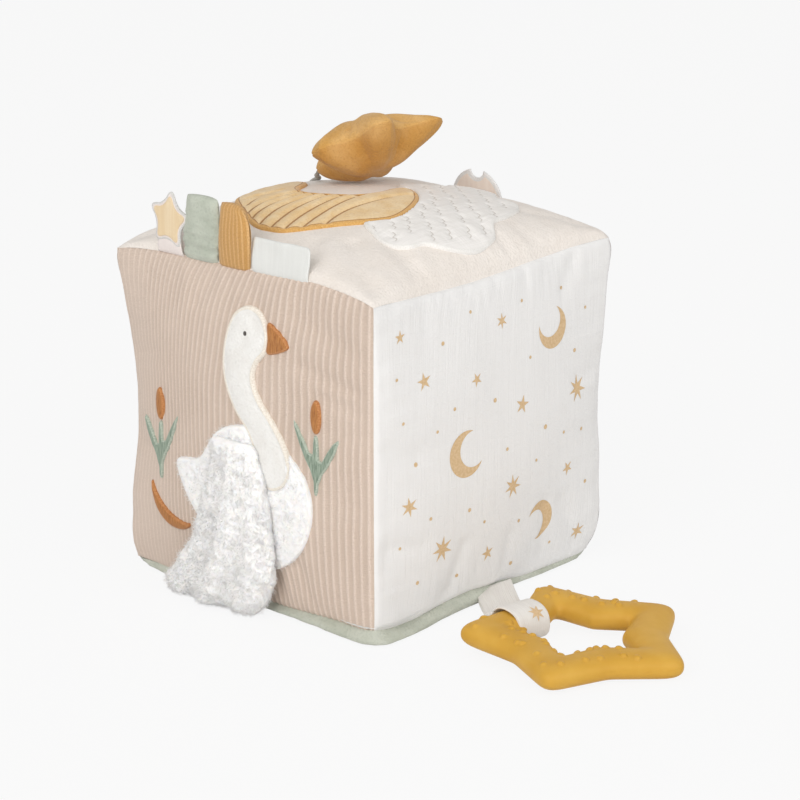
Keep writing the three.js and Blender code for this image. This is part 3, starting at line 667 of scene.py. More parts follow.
def cloth_on(face, name, columns, rows, paint, node, slot, relief=None):
    """One panel of the block."""
    u, v = np.meshgrid(np.linspace(-1, 1, columns + 1), np.linspace(-1, 1, rows + 1))
    u, v = u.ravel(), v.ravel()
    cloth = np.column_stack([drift(u, v) * HALF, v * SEAM_SPAN / 2, 0 * u]) * MM
    points = skin(face, u, v)
    if relief is not None:
        cube = cube_place(face, u, v)
        points = points + outwards(cube) * relief(u, v)[:, None]
    faces = grid_faces(rows + 1, columns + 1)
    values = {"cloth": cloth}
    if face == "front":
        values["plain"] = plainness(u, v)
    return piece(name, points, faces, paint, "block", node, values)


def applique(name, face, outline, paint, node, height, cell, rings, lines=()):
    """A fabric shape sewn on a face. height works on flat points and on how far in they lie."""
    flat, faces = filled(outline, cell, rings, lines)
    rim = distance_to(flat, outline)
    points = lifted(face, flat, height(flat, rim) + (TOP_LIFT if face == "top" else RIB_LIFT))
    skirt = boundary_of(faces)
    start = len(points)
    edge = [a for a, _ in skirt]
    place = {a: start + k for k, a in enumerate(edge)}
    points = np.vstack([points, lifted(face, flat[edge], np.full(len(edge), -SKIRT))])
    faces = faces + [[b, a, place[a], place[b]] for a, b in skirt]
    corner, first, second = points[faces[0]]
    if np.cross(first - corner, second - corner) @ skin_normal(face, *places_on(face, flat[:1]))[0] < 0:
        faces = [face_points[::-1] for face_points in faces]
    flat = np.vstack([flat, flat[edge]])
    rim = np.concatenate([rim, np.zeros(len(edge))])
    values = {"cloth": np.column_stack([flat, np.zeros(len(flat))]) * MM, "rim": rim * MM}
    if lines:
        values["sewn"] = nearest_line(flat, lines) * MM
    return piece(name, points, faces, paint, "block", node, values)


# Materials

WHITE = (1, 1, 1, 1)
SUBSURFACE_REACH = (0.002, 0.0016, 0.0012)


class Paint:
    """A Principled material and the nodes that colour and roughen it. Scales are in features to a metre."""

    def __init__(self, name, roughness, sheen=0.0, subsurface=0.0):
        self.material = bpy.data.materials.new(name)
        self.material.use_nodes = True
        self.tree = self.material.node_tree
        self.shader = self.tree.nodes["Principled BSDF"]
        self.shader.inputs["Roughness"].default_value = roughness
        self.shader.inputs["Sheen Weight"].default_value = sheen
        self.shader.inputs["Sheen Roughness"].default_value = 0.5
        self.shader.inputs["Sheen Tint"].default_value = WHITE
        self.shader.inputs["Specular IOR Level"].default_value = 0.25
        self.shader.inputs["Subsurface Weight"].default_value = subsurface
        self.shader.inputs["Subsurface Radius"].default_value = SUBSURFACE_REACH
        self.shader.inputs["Subsurface Scale"].default_value = 1.0

    def node(self, kind, inputs=(), **settings):
        made = self.tree.nodes.new("ShaderNode" + kind)
        for key, value in settings.items():
            setattr(made, key, value)
        for key, value in dict(inputs).items():
            if isinstance(value, bpy.types.NodeSocket):
                self.tree.links.new(value, made.inputs[key])
            elif value is not None:
                made.inputs[key].default_value = value
        return made

    def place(self):
        return self.node("TexCoord").outputs["Object"]

    def value(self, name):
        return self.node("Attribute", attribute_name=name).outputs["Fac"]

    def cloth(self):
        return self.node("Attribute", attribute_name="cloth").outputs["Vector"]

    def scaled(self, vector, scale):
        return self.node("VectorMath", {0: vector, 1: scale}, operation="MULTIPLY").outputs["Vector"]

    def noise(self, scale, detail=2.0, vector=None, distortion=0.0):
        vector = vector or self.place()
        inputs = {"Vector": vector, "Scale": scale, "Detail": detail, "Distortion": distortion}
        return self.node("TexNoise", inputs).outputs["Fac"]

    def threads(self, across, along, detail=2.0):
        """Noise with a scale of its own across the cloth and along it."""
        return self.noise(1.0, detail, self.scaled(self.cloth(), (across, along, 1.0)))

    def math(self, operation, *values):
        return self.node("Math", dict(enumerate(values)), operation=operation).outputs["Value"]

    def stretch(self, value, low, high, to_low=0.0, to_high=1.0):
        inputs = {"Value": value, "From Min": low, "From Max": high, "To Min": to_low, "To Max": to_high}
        return self.node("MapRange", inputs).outputs["Result"]

    def mix(self, share, first, second):
        """A mix of two colours, each a socket or a hexadecimal code."""
        first, second = (linear(colour) if isinstance(colour, str) else colour for colour in (first, second))
        made = self.node("Mix", data_type="RGBA")
        for socket, value in zip((made.inputs[0], made.inputs[6], made.inputs[7]), (share, first, second)):
            if isinstance(value, bpy.types.NodeSocket):
                self.tree.links.new(value, socket)
            else:
                socket.default_value = value
        return made.outputs[2]

    def colour(self, socket):
        self.tree.links.new(socket, self.shader.inputs["Base Color"])

    def coloured(self):
        """The colour that the paint has so far."""
        return self.shader.inputs["Base Color"].links[0].from_socket

    def bump(self, *layers):
        """Each layer is a height from 0 to 1 and how far it rises, in millimetres."""
        normal = None
        for height, rise in layers:
            inputs = {"Height": height, "Distance": rise * MM, "Strength": 1.0, "Normal": normal}
            normal = self.node("Bump", inputs).outputs["Normal"]
        self.tree.links.new(normal, self.shader.inputs["Normal"])


def linear(code):
    """A linear colour from a hexadecimal one."""
    parts = [int(code[k : k + 2], 16) / 255 for k in (1, 3, 5)]
    return (*(p / 12.92 if p <= 0.04045 else ((p + 0.055) / 1.055) ** 2.4 for p in parts), 1)


def velour(name, light, mid, dark, sheen=0.25, pile=900.0, brush=60.0, contrast=(0.35, 0.65)):
    """Short pile: soft brushed patches, and a fine grain of its tips."""
    paint = Paint(name, 0.95, sheen)
    patches = paint.stretch(paint.noise(brush, 3.0, distortion=0.4), *contrast)
    grain = paint.noise(pile, 2.0)
    body = paint.mix(patches, mid, light)
    paint.colour(paint.mix(paint.stretch(grain, 0.25, 0.5, 0.38, 0.0), body, dark))
    paint.bump((grain, 0.35), (paint.noise(pile / 4, 2.0), 0.25), (patches, 0.12))
    return paint


def corduroy(name, ridge, valley, shade, pitch):
    """Wales along the cloth's own upright direction, with a fine woven grain between them, and painted
    highlight on their tops and painted shade in the grooves.
    """
    paint = Paint(name, 0.95, 0.2)
    across = paint.node("SeparateXYZ", {"Vector": paint.cloth()}).outputs["X"]
    turns = paint.math("MULTIPLY", across, 2 * math.pi / (pitch * MM))
    wave = paint.math("COSINE", turns)
    grain = paint.threads(2600.0, 1500.0)
    rows = paint.threads(700.0, 2400.0, 1.0)
    # Painted highlight and painted shade: the wave of the wales mixes the groove colour towards the ridge
    # colour, and where the wales are flattened the colour stays partway towards the highlight.
    even = paint.math("MULTIPLY", paint.value("plain"), 0.5)
    top = paint.math("MAXIMUM", paint.stretch(wave, 0.1, 0.95), even)
    body = paint.mix(top, valley, ridge)
    speck = paint.stretch(grain, 0.35, 0.6, 0.5, 0.0)
    body = paint.mix(speck, body, shade)
    worn = paint.stretch(paint.noise(45.0, 3.0), 0.4, 0.7, 0.0, 0.18)
    paint.colour(paint.mix(worn, body, ridge))
    paint.bump((grain, 0.3), (rows, 0.25))
    return paint


def woven(name, base, light, dark, warp=1500.0, weft=1500.0, slub=0.35, roughness=0.9):
    """A plain weave with slubs along its upright threads."""
    paint = Paint(name, roughness, 0.1)
    upright = paint.threads(warp, warp / 40)
    level = paint.threads(weft / 40, weft)
    streak = paint.threads(420.0, 14.0)
    body = paint.mix(paint.stretch(streak, 0.3, 0.7), base, light)
    body = paint.mix(paint.stretch(upright, 0.3, 0.5, slub, 0.0), body, dark)
    paint.colour(body)
    paint.bump((upright, 0.18), (level, 0.12), (streak, 0.15))
    return paint


def thread(name, light, mid, dark):
    """Satin stitches laid side by side."""
    paint = Paint(name, 0.6, 0.15)
    lines = paint.threads(2600.0, 208.0)
    fleck = paint.threads(1400.0, 1400.0, 3.0)
    body = paint.mix(paint.stretch(lines, 0.35, 0.65), dark, light)
    paint.colour(paint.mix(paint.stretch(fleck, 0.35, 0.65, 0.0, 0.6), body, mid))
    paint.bump((lines, 0.35), (fleck, 0.2))
    return paint


def sherpa_paint(name, subsurface):
    """White curly pile."""
    paint = Paint(name, 1.0, 0.4, subsurface)
    curls = paint.noise(260.0, 3.0, distortion=1.5)
    paint.colour(paint.mix(paint.stretch(curls, 0.3, 0.7), "#fefcfa", "#ffffff"))
    paint.bump((curls, 0.35), (paint.noise(1300.0, 2.0), 0.2))
    return paint


def with_rim(paint, width, light, dark):
    """Satin stitching of a width round a shape's edge, over the colour that the paint has."""
    rim = paint.value("rim")
    border = paint.stretch(rim, width * MM * 0.97, width * MM * 1.03, 1.0, 0.0)
    stitches = paint.threads(2000.0, 2000.0)
    thread_colour = paint.mix(paint.stretch(stitches, 0.35, 0.65), dark, light)
    paint.colour(paint.mix(border, paint.coloured(), thread_colour))
    return paint


cream_velour = velour("cream_velour", "#ede6df", "#e9e1d9", "#ddd4ca")
sage_velour = velour("sage_velour", "#c6c9bd", "#b8bcae", "#9ba192", brush=90.0)
beige_corduroy = corduroy("beige_corduroy", "#e6d5c8", "#d0bdae", "#bda897", BLOCK_WIDTH / RIB_COUNT)
print_cotton = woven("print_cotton", "#e8e7e6", "#eae9e8", "#dddcda", slub=0.1)
ink = Paint("gold_ink", 0.7)
ink.colour(ink.mix(ink.stretch(ink.noise(900.0), 0.3, 0.7), "#cdae84", "#dcc09a"))
ink.bump((ink.noise(1500.0), 0.05))
white_velour = velour("white_velour", "#f0efec", "#e9e7e3", "#d9d6d0", brush=110.0)
with_rim(white_velour, 1.7, "#f6f1e8", "#e0d7c9")
sherpa = sherpa_paint("white_sherpa", 0.35)
sherpa_fibre = sherpa_paint("white_sherpa_fibre", 0.5)
rust_thread = with_rim(thread("rust_thread", "#c58a50", "#b37840", "#8f5529"), 0.9, "#cf9660", "#a9683a")
dark_thread = thread("dark_thread", "#77716b", "#55504c", "#3a3634")
sage_thread = with_rim(thread("sage_thread", "#a9b7a6", "#8e9e8d", "#667868"), 0.6, "#c4cdbf", "#98a697")
ochre_velour = velour("ochre_velour", "#edd3a8", "#e5c490", "#cfa66c", brush=120.0)
cloud_cotton = woven("cloud_cotton", "#edeae6", "#f3f0ed", "#dcd8d3", slub=0.25)
SATIN = {"warp": 2400.0, "weft": 2400.0, "slub": 0.25, "roughness": 0.6}
peach_satin = woven("peach_satin", "#e6dbd6", "#ebe1dc", "#d6c9c2", **SATIN)
with_rim(peach_satin, 0.8, "#dfdedb", "#c9c7c3")
peach_plain = woven("peach_plain", "#e8deda", "#ede4e0", "#dacfc9", **SATIN)
star_satin = woven("star_satin", "#e4cba4", "#ecd8b7", "#d3b78b", **SATIN)
ochre_corduroy = corduroy("ochre_corduroy", "#e0b67e", "#cc9c5d", "#aa7b42", 2.2)
label_weave = woven("label_weave", "#dfe0dd", "#e4e5e2", "#d2d4d1", 3000.0, 3000.0, 0.2, 0.7)
taupe_satin = woven("taupe_satin", "#e9dbd0", "#efe4da", "#dccbc0", 2400.0, 2400.0, 0.2, 0.6)
with_rim(taupe_satin, 1.7, "#e9e8e7", "#dad8d6")
ribbon_weave = woven("ribbon_weave", "#e2ded9", "#e8e5e0", "#cfc9c1", 2200.0, 2200.0, 0.35, 0.8)
silicone = Paint("mustard_silicone", 0.5, subsurface=0.08)
patches = silicone.stretch(silicone.noise(70.0, 3.0), 0.35, 0.7)
silicone.colour(silicone.mix(patches, "#cb9b3a", "#d4a647"))
silicone.bump((silicone.noise(2600.0, 2.0), 0.04), (silicone.noise(220.0, 2.0), 0.06))
plush = velour("ochre_plush", "#dcb172", "#cb9b54", "#a8763a", 0.15, 1100.0, 55.0, (0.4, 0.62))
# Painted shade: the star's lower panel is darkened towards #a86c2c, most near its middle.
painted_shade_share = plush.math("MULTIPLY", plush.value("painted_under_shade"), 0.35)
plush.colour(plush.mix(painted_shade_share, plush.coloured(), "#a86c2c"))
cord_paint = thread("grey_cord", "#bdb8b0", "#a9a49c", "#857f77")

# The camera and the stage

CAMERA_LENS = 135.0
CAMERA_SENSOR = 36.0
CAMERA_PLACE = (0.87909, -0.94619, 0.47819)
CAMERA_RIGHT = (0.74134, 0.67113, -0.00131)
CAMERA_UP = (-0.19845, 0.22107, 0.95485)
CAMERA_BACK = (0.64112, -0.70761, 0.29707)
BACKDROP = (0.965, 0.965, 0.965, 1)
SKY = (1.0, 0.99, 0.975, 1)
SKY_STRENGTH = 0.505
FLOOR = (0.86, 0.86, 0.86, 1)
FLOOR_ROUGHNESS = 0.9
FLOOR_GLOSS = 0.1
FLOOR_GLOW_SHARE = 0.93
FLOOR_REACH = 6.0

# Soft lights, in metres and watts: name, place, aim, size, power and colour
LIGHTS = [
    ("key", (0.5, -1.7, 1.3), (0, 0, 0.08), 1.6, 18.6, (1.0, 0.985, 0.965)),
    ("fill", (1.9, -0.2, 1.0), (0, 0, 0.08), 1.4, 12.5, WHITE[:3]),
    ("low", (0.55, -1.35, 0.2), (0, 0, 0.03), 1.0, 2.2, WHITE[:3]),
]


def look():
    """The photograph's camera."""
    camera = bpy.data.objects.new("camera", bpy.data.cameras.new("camera"))
    camera.data.lens = CAMERA_LENS
    camera.data.sensor_width = CAMERA_SENSOR
    axes = Matrix((CAMERA_RIGHT, CAMERA_UP, CAMERA_BACK))
    camera.matrix_world = axes.transposed().to_4x4()
    camera.location = CAMERA_PLACE
    bpy.context.scene.collection.objects.link(camera)
    bpy.context.scene.camera = camera


def area_light(name, place, aim, size, power, colour):
    lamp = bpy.data.lights.new(name, "AREA")
    lamp.shape = "DISK"
    lamp.size = size
    lamp.energy = power
    lamp.color = colour
    obj = bpy.data.objects.new(name, lamp)
    obj.location = place
    obj.rotation_euler = (Vector(aim) - Vector(place)).to_track_quat("-Z", "Y").to_euler()
    bpy.context.scene.collection.objects.link(obj)


def seen_rays(tree):
    """A value of 1 where the camera sees something, straight or in a reflection or through glass."""
    rays = tree.nodes.new("ShaderNodeLightPath")
    found = rays.outputs["Is Camera Ray"]
    for kind in ("Is Glossy Ray", "Is Transmission Ray"):
        either = tree.nodes.new("ShaderNodeMath")
        either.operation = "MAXIMUM"
        tree.links.new(found, either.inputs[0])
        tree.links.new(rays.outputs[kind], either.inputs[1])
        found = either.outputs[0]
    return found


def show_mixed(tree, share, first, second, output):
    """Show the second shader by a share, and the first one for the rest."""
    mixed = tree.nodes.new("ShaderNodeMixShader")
    tree.links.new(share, mixed.inputs["Fac"])
    tree.links.new(first.outputs[0], mixed.inputs[1])
    tree.links.new(second.outputs[0], mixed.inputs[2])
    tree.links.new(mixed.outputs[0], tree.nodes[output].inputs["Surface"])


def studio():
    """A white world for the camera, which lights the object with a warmer and weaker sky."""
    world = bpy.data.worlds.new("studio")
    bpy.context.scene.world = world
    world.use_nodes = True
    tree = world.node_tree
    seen = tree.nodes["Background"]
    seen.inputs["Color"].default_value = BACKDROP
    lit = tree.nodes.new("ShaderNodeBackground")
    lit.inputs["Color"].default_value = SKY
    lit.inputs["Strength"].default_value = SKY_STRENGTH
    show_mixed(tree, seen_rays(tree), lit, seen, "World Output")


def floor_material():
    """White paper, which glows a little for the camera so that it meets the backdrop without an edge."""
    material = bpy.data.materials.new("floor")
    material.use_nodes = True
    tree = material.node_tree
    shader = tree.nodes["Principled BSDF"]
    shader.inputs["Base Color"].default_value = FLOOR
    shader.inputs["Roughness"].default_value = FLOOR_ROUGHNESS
    shader.inputs["Specular IOR Level"].default_value = FLOOR_GLOSS
    glow = tree.nodes.new("ShaderNodeEmission")
    glow.inputs["Color"].default_value = BACKDROP
    share = tree.nodes.new("ShaderNodeMath")
    share.operation = "MULTIPLY"
    share.inputs[1].default_value = FLOOR_GLOW_SHARE
    tree.links.new(seen_rays(tree), share.inputs[0])
    show_mixed(tree, share.outputs[0], shader, glow, "Material Output")
    return material


def stage():
    """A white floor under a white world, in soft studio light."""
    bpy.context.scene.view_settings.view_transform = "Standard"
    studio()
    mesh = bpy.data.meshes.new("floor")
    corners = [(FLOOR_REACH * x, FLOOR_REACH * y, 0) for x, y in ((-1, -1), (1, -1), (1, 1), (-1, 1))]
    mesh.from_pydata(corners, [], [(0, 1, 2, 3)])
    mesh.materials.append(floor_material())
    floor = bpy.data.objects.new("floor", mesh)
    bpy.context.scene.collection.objects.link(floor)
    floor.location.z = min(0.0, CAD_BOX[0].z)
    for light in LIGHTS:
        area_light(*light)


look()
stage()


# Panels


PANEL_STEPS = 150
BASE_STEPS = 120
RIB_COLUMNS = RIB_COUNT * 8


def ribs(u, v):
    """The height of the wales, which fade into the panel's side seams."""
    wave = 0.5 + 0.5 * np.cos(math.pi * RIB_COUNT * drift(u, v))
    edge = np.clip((1 - np.abs(u)) * HALF / RIB_FADE, 0, 1) * (1 - plainness(u, v))
    return RIB_HEIGHT * wave**RIB_POWER * edge


# Face, name, columns and rows, paint, node, slot and relief
PANELS = [
    ("front", "front_panel", RIB_COLUMNS, PANEL_STEPS, beige_corduroy, "corduroy_panel", "corduroy", ribs),
    ("back", "back_panel_cloth", RIB_COLUMNS, PANEL_STEPS, beige_corduroy, "back_panel", "corduroy", ribs),
    ("right", "right_panel", PANEL_STEPS, PANEL_STEPS, print_cotton, "printed_panel", "printed_cotton"),
    ("left", "left_panel_cloth", PANEL_STEPS, PANEL_STEPS, print_cotton, "left_panel", "printed_cotton"),
    ("top", "top_panel_cloth", PANEL_STEPS, PANEL_STEPS, cream_velour, "top_panel", "cream_velour"),
    ("base", "base_panel_cloth", BASE_STEPS, BASE_STEPS, sage_velour, "base_panel", "sage_velour"),
]
for panel in PANELS:
    cloth_on(*panel)

# The gold print of the cotton: crescents, stars and dots


def crescent(radius, bite, shift, turn):
    """A crescent's outline: one disc with another taken out of it."""
    reach = (radius**2 - bite**2 + shift**2) / (2 * shift)
    open_angle = math.acos(reach / radius)
    inner_angle = math.acos((reach - shift) / bite)
    outer = np.linspace(open_angle, 2 * math.pi - open_angle, 40)
    inner = np.linspace(2 * math.pi - inner_angle, inner_angle, 30)[1:-1]
    points = np.vstack([circle(outer) * radius, circle(inner) * bite + np.array([shift, 0])])
    return rotated(points, turn)


def rotated(points, degrees):
    c, s = math.cos(math.radians(degrees)), math.sin(math.radians(degrees))
    return points @ np.array([[c, s], [-s, c]])


def rayed_star(points, outer, inner, turn=0.0):
    angles = math.pi / 2 + math.pi * np.arange(2 * points) / points
    reach = np.where(np.arange(2 * points) % 2, inner, outer)
    return rotated(circle(angles) * reach[:, None], turn)


# Crescents as place, radius and turn; stars as place, points, radius and turn; dots as place and radius
CRESCENTS = [((36, 118), 9.5, 118), ((-22, 74), 10.5, 20), ((30, 30), 9.0, 205)]
STARS = [
    ((-48, 112), 5, 4.2, 10), ((2, 128), 6, 3.6, 0), ((-16, 106), 5, 3.4, 25), ((54, 86), 7, 6.4, 0),
    ((14, 88), 5, 4.4, -14), ((-56, 58), 6, 4.6, 8), ((8, 52), 7, 5.6, 5), ((48, 50), 5, 3.6, 30),
    ((-36, 34), 7, 6.2, -6), ((-6, 24), 5, 3.8, 12), ((60, 16), 6, 4.4, 0), ((-62, 134), 5, 3.2, 0),
]
DOTS = [
    ((-36, 126), 1.0), ((-60, 96), 0.8), ((-30, 96), 0.9), ((-4, 94), 1.1), ((20, 108), 0.8),
    ((52, 104), 1.0), ((60, 122), 0.8), ((30, 74), 1.2), ((44, 68), 0.8), ((4, 70), 0.9), ((-40, 88), 0.8),
    ((-52, 76), 1.1), ((-44, 50), 0.9), ((-20, 48), 1.0), ((24, 60), 0.8), ((58, 66), 0.9), ((62, 40), 1.0),
    ((40, 16), 0.8), ((14, 34), 0.9), ((-10, 40), 0.8), ((-50, 22), 1.0), ((-24, 18), 0.9), ((-60, 40), 0.8),
    ((12, 14), 1.0), ((16, 134), 0.8), ((44, 134), 0.9), ((-18, 136), 0.8), ((-64, 116), 0.8),
]
PRINT_LIFT = 0.09


BITE_SHARE = 0.78
BITE_SHIFT_SHARE = 0.42
STAR_NOTCH_SHARE = 0.36
DOT_NOTCH_SHARE = 0.9
DOT_POINTS = 6
PRINT_SPACING = 0.8
PRINT_CELL = 1.0


def print_shapes():
    """Where each shape of the print lies, and its outline."""
    for place, radius, turn in CRESCENTS:
        yield place, crescent(radius, BITE_SHARE * radius, BITE_SHIFT_SHARE * radius, turn)
    for place, count, radius, turn in STARS:
        yield place, rayed_star(count, radius, STAR_NOTCH_SHARE * radius, turn)
    for place, radius in DOTS:
        yield place, rayed_star(DOT_POINTS, radius, DOT_NOTCH_SHARE * radius)


def print_on(face, name):
    """The print's ink as thin shapes on the cloth."""
    parts = []
    for place, outline in print_shapes():
        flat, faces = filled(straight_outline(outline + np.array(place), PRINT_SPACING), PRINT_CELL)
        parts.append((lifted(face, flat, np.full(len(flat), PRINT_LIFT)), faces))
    points, faces = joined(parts)
    return piece(name, points, faces, ink, "block")


print_on("right", "right_print")
print_on("left", "left_print")

# Appliques on the front

SWAN_WIDTH = 82.0
SWAN_HEIGHT = 118.0
SWAN_LEFT = 38.0
SWAN_FOOT = 20.0
APPLIQUE = 1.4
NECK_SHARES = [
    (0.549, 1.0), (0.646, 0.975), (0.701, 0.915), (0.689, 0.847), (0.628, 0.797), (0.604, 0.737),
    (0.646, 0.669), (0.744, 0.593), (0.829, 0.508), (0.866, 0.424), (0.817, 0.356), (0.72, 0.331),
    (0.634, 0.364), (0.616, 0.449), (0.561, 0.534), (0.47, 0.602), (0.402, 0.686), (0.378, 0.78),
    (0.396, 0.881), (0.451, 0.966),
]
BODY_SHARES = [
    (0.0, 0.33), (0.085, 0.203), (0.25, 0.076), (0.47, 0.0), (0.68, 0.008), (0.88, 0.093),
    (0.99, 0.229), (0.98, 0.373), (0.86, 0.475), (0.67, 0.55), (0.5, 0.55), (0.33, 0.5),
    (0.19, 0.38), (0.085, 0.36),
]
BEAK_SHARES = [(0, 1), (0.35, 0.86), (0.75, 0.6), (1, 0.36), (0.72, 0.2), (0.35, 0.06), (0, 0), (0.05, 0.5)]
REED_SHARES = [
    (0.47, 0), (0.53, 0), (0.545, 0.2), (0.78, 0.42), (1.0, 0.78), (0.84, 0.66), (0.57, 0.36), (0.54, 0.62),
    (0.5, 0.64), (0.46, 0.62), (0.44, 0.3), (0.2, 0.56), (0, 0.66), (0.16, 0.42), (0.45, 0.16),
]
LEAF_SHARES = [
    (0, 1), (0.12, 0.74), (0.28, 0.5), (0.5, 0.3), (0.78, 0.2), (1, 0.24), (0.86, 0.06), (0.6, -0.02),
    (0.36, 0.06), (0.16, 0.3), (0.04, 0.64),
]
SWAN_BASE = np.array([-SWAN_LEFT, SWAN_FOOT])
SWAN_SIZE = np.array([SWAN_WIDTH, SWAN_HEIGHT])


def padded_height(full, rise, border=0.0, border_width=1.7):
    """The height of a shape that swells over a distance from its edge, with a raised border."""

    def height(flat, rim):
        swell = full * np.sqrt(np.clip(1 - (1 - np.clip(rim / rise, 0, 1)) ** 2, 0, 1))
        ridge = border * np.sqrt(np.clip(1 - (2 * rim / border_width - 1) ** 2, 0, 1))
        return 0.1 + swell + ridge

    return height


neck = smooth_curve(np.array(NECK_SHARES) * SWAN_SIZE + SWAN_BASE, 220)
body_outline = smooth_curve(np.array(BODY_SHARES) * SWAN_SIZE + SWAN_BASE, 190)
NECK_LUMP = 0.25
NECK_LUMP_LENGTH = 9.0
BODY_PILE = 0.8
BODY_UNDER_NECK = 0.9
NECK_RINGS = (0.4, 0.85, 1.3, 1.8)
BODY_RINGS = (0.4, 0.85, 1.3)
THREAD_RINGS = (0.4, 0.9)


def neck_height(flat, rim):
    lumps = NECK_LUMP * value_noise(flat / NECK_LUMP_LENGTH, 3)
    return padded_height(2.0, 7.0, 0.5)(flat, rim) + lumps * np.clip(rim / 4, 0, 1)


def body_height(flat, rim):
    pile = BODY_PILE * curly(flat, 7) * np.clip((rim - 1.0) / 2.5, 0, 1)
    return padded_height(1.8, 5.0, 0.4)(flat, rim) + pile - BODY_UNDER_NECK * is_inside(flat, neck)


applique("swan_neck_cloth", "front", neck, white_velour, "swan_neck", neck_height, 1.0,
         NECK_RINGS)
applique("swan_body_pile", "front", body_outline, sherpa, "swan_body", body_height, 0.6,
         BODY_RINGS)

BEAK_SIZE = np.array([14.0, 15.0])
beak_base = SWAN_BASE + np.array([0.68, 0.9]) * SWAN_SIZE - np.array([0.0, BEAK_SIZE[1] / 2])
beak = softened(np.array(BEAK_SHARES) * BEAK_SIZE + beak_base, 2, 80)
applique("beak_stitches", "front", beak, rust_thread, "swan_beak", padded_height(1.3, 3.0),
         0.8, THREAD_RINGS)
EYE_RADIUS = 1.8
EYE_LIFT = 2.0
EYE_SWELL = 0.5
eye_place = SWAN_BASE + np.array([0.55, 0.9]) * SWAN_SIZE
eye_turn = full_turn(26)


def eye_height(flat, rim):
    return EYE_LIFT + EYE_SWELL * np.sqrt(np.clip(rim / EYE_RADIUS, 0, 1))


applique("eye_stitches", "front", circle(eye_turn) * EYE_RADIUS + eye_place, dark_thread, "swan_eye",
         eye_height, 0.5, (0.3,))

REED_SIZE = np.array([26.0, 42.0])
REED_HEAD_SHARE = 0.64
CATTAIL_SIZE = np.array([5.5, 15.0])
LEAF_SIZE = np.array([27.0, 21.0])
LEAF_BASE = np.array([-44.0 - LEAF_SIZE[0] / 2, 26.0])


def reeds(side, place, foot, mirrored):
    shares = np.array(REED_SHARES) - np.array([0.5, 0.0])
    if mirrored:
        shares = shares * np.array([-1, 1])
    outline = softened(shares * REED_SIZE + np.array([place, foot]), 1, 190)
    applique(f"reed_stitches_{side}", "front", outline, sage_thread, f"reeds_{side}",
             padded_height(0.9, 1.2), 0.5, (0.35, 0.72))
    middle = np.array([place, foot + REED_HEAD_SHARE * REED_SIZE[1] + GAP + CATTAIL_SIZE[1] / 2])
    head = circle(eye_turn) * CATTAIL_SIZE / 2 + middle
    applique(f"cattail_stitches_{side}", "front", head, rust_thread, f"cattail_{side}",
             padded_height(1.0, 2.0), 0.7, THREAD_RINGS)


reeds("left", place=-50.0, foot=48.0, mirrored=False)
reeds("right", place=46.0, foot=62.0, mirrored=True)
leaf = softened(np.array(LEAF_SHARES) * LEAF_SIZE + LEAF_BASE, 3, 110)
applique("leaf_stitches", "front", leaf, rust_thread, "rust_leaf",
         padded_height(1.0, 2.0), 0.8, THREAD_RINGS)

# Appliques on the top

TAIL_SIZE = np.array([97.0, 78.0])
TAIL_BASE = np.array([-62.0, -55.0])
CLOUD_SIZE = np.array([73.0, 100.0])
CLOUD_BASE = np.array([-4.0, -38.0])
TAIL_SHARES = [
    (0.485, 0.013), (0.6, 0.0), (0.7, 0.038), (0.845, 0.205), (0.97, 0.385), (1.0, 0.5), (0.97, 0.654),
    (0.897, 0.82), (0.784, 0.96), (0.69, 1.0), (0.67, 0.91), (0.69, 0.77), (0.65, 0.64), (0.546, 0.577),
    (0.402, 0.564), (0.289, 0.64), (0.206, 0.81), (0.124, 0.885), (0.041, 0.81), (0.0, 0.628),
    (0.041, 0.449), (0.144, 0.295), (0.309, 0.141),
]
CLOUD_SHARES = [
    (0.405, 0.11), (0.568, 0.03), (0.716, 0.0), (0.838, 0.04), (0.865, 0.12), (0.946, 0.2), (1.0, 0.34),
    (0.96, 0.5), (0.851, 0.59), (0.824, 0.7), (0.77, 0.82), (0.662, 0.91), (0.514, 0.9), (0.405, 0.98),
    (0.216, 0.99), (0.108, 0.91), (0.135, 0.84), (0.03, 0.76), (0.0, 0.66), (0.12, 0.58), (0.257, 0.38),
]
tail = smooth_curve(np.array(TAIL_SHARES) * TAIL_SIZE + TAIL_BASE, 300)
cloud = smooth_curve(np.array(CLOUD_SHARES) * CLOUD_SIZE + CLOUD_BASE, 300)

# The lines sewn into the tail, each through its places from the tail's edge inwards
TAIL_LINES = [
    [(-44, -28), (-43, -22), (-41, -15)],
    [(-36, -37), (-39, -29), (-40, -22), (-39, -12)],
    [(-27, -46), (-30, -37), (-31, -30), (-30, -20), (-28, -12)],
    [(-20, -50), (-23, -42), (-25, -32), (-24, -20), (-22, -11)],
    [(-12, -53), (-15, -45), (-17.5, -36), (-18, -26), (-16.5, -12)],
    [(-5, -52.5), (-8, -43), (-10, -34), (-10.5, -24), (-9.5, -11)],
    [(2, -51), (-1, -41), (-2.5, -31), (-3, -20), (-3, -9)],
    [(8.5, -47), (6, -37), (4.5, -27), (3.5, -16), (3.5, -5)],
    [(15.5, -40), (13, -30), (12.5, -20), (14, -8), (15.5, 4), (17.5, 13)],
]
CLOUD_UNDER_TAIL = 0.6

# The cloud's short stitches: their size, their spacing, their stray, and the ways of the rows
CLOUD_ROWS = 16
CLOUD_STITCH = 7.2
CLOUD_STITCH_HEIGHT = 0.9
CLOUD_STEP = 11.0
CLOUD_ROW_STEP = 8.0
CLOUD_STRAY = 1.5
CLOUD_ALONG = np.array([-0.77, 0.64])
CLOUD_ACROSS = np.array([0.64, 0.77])


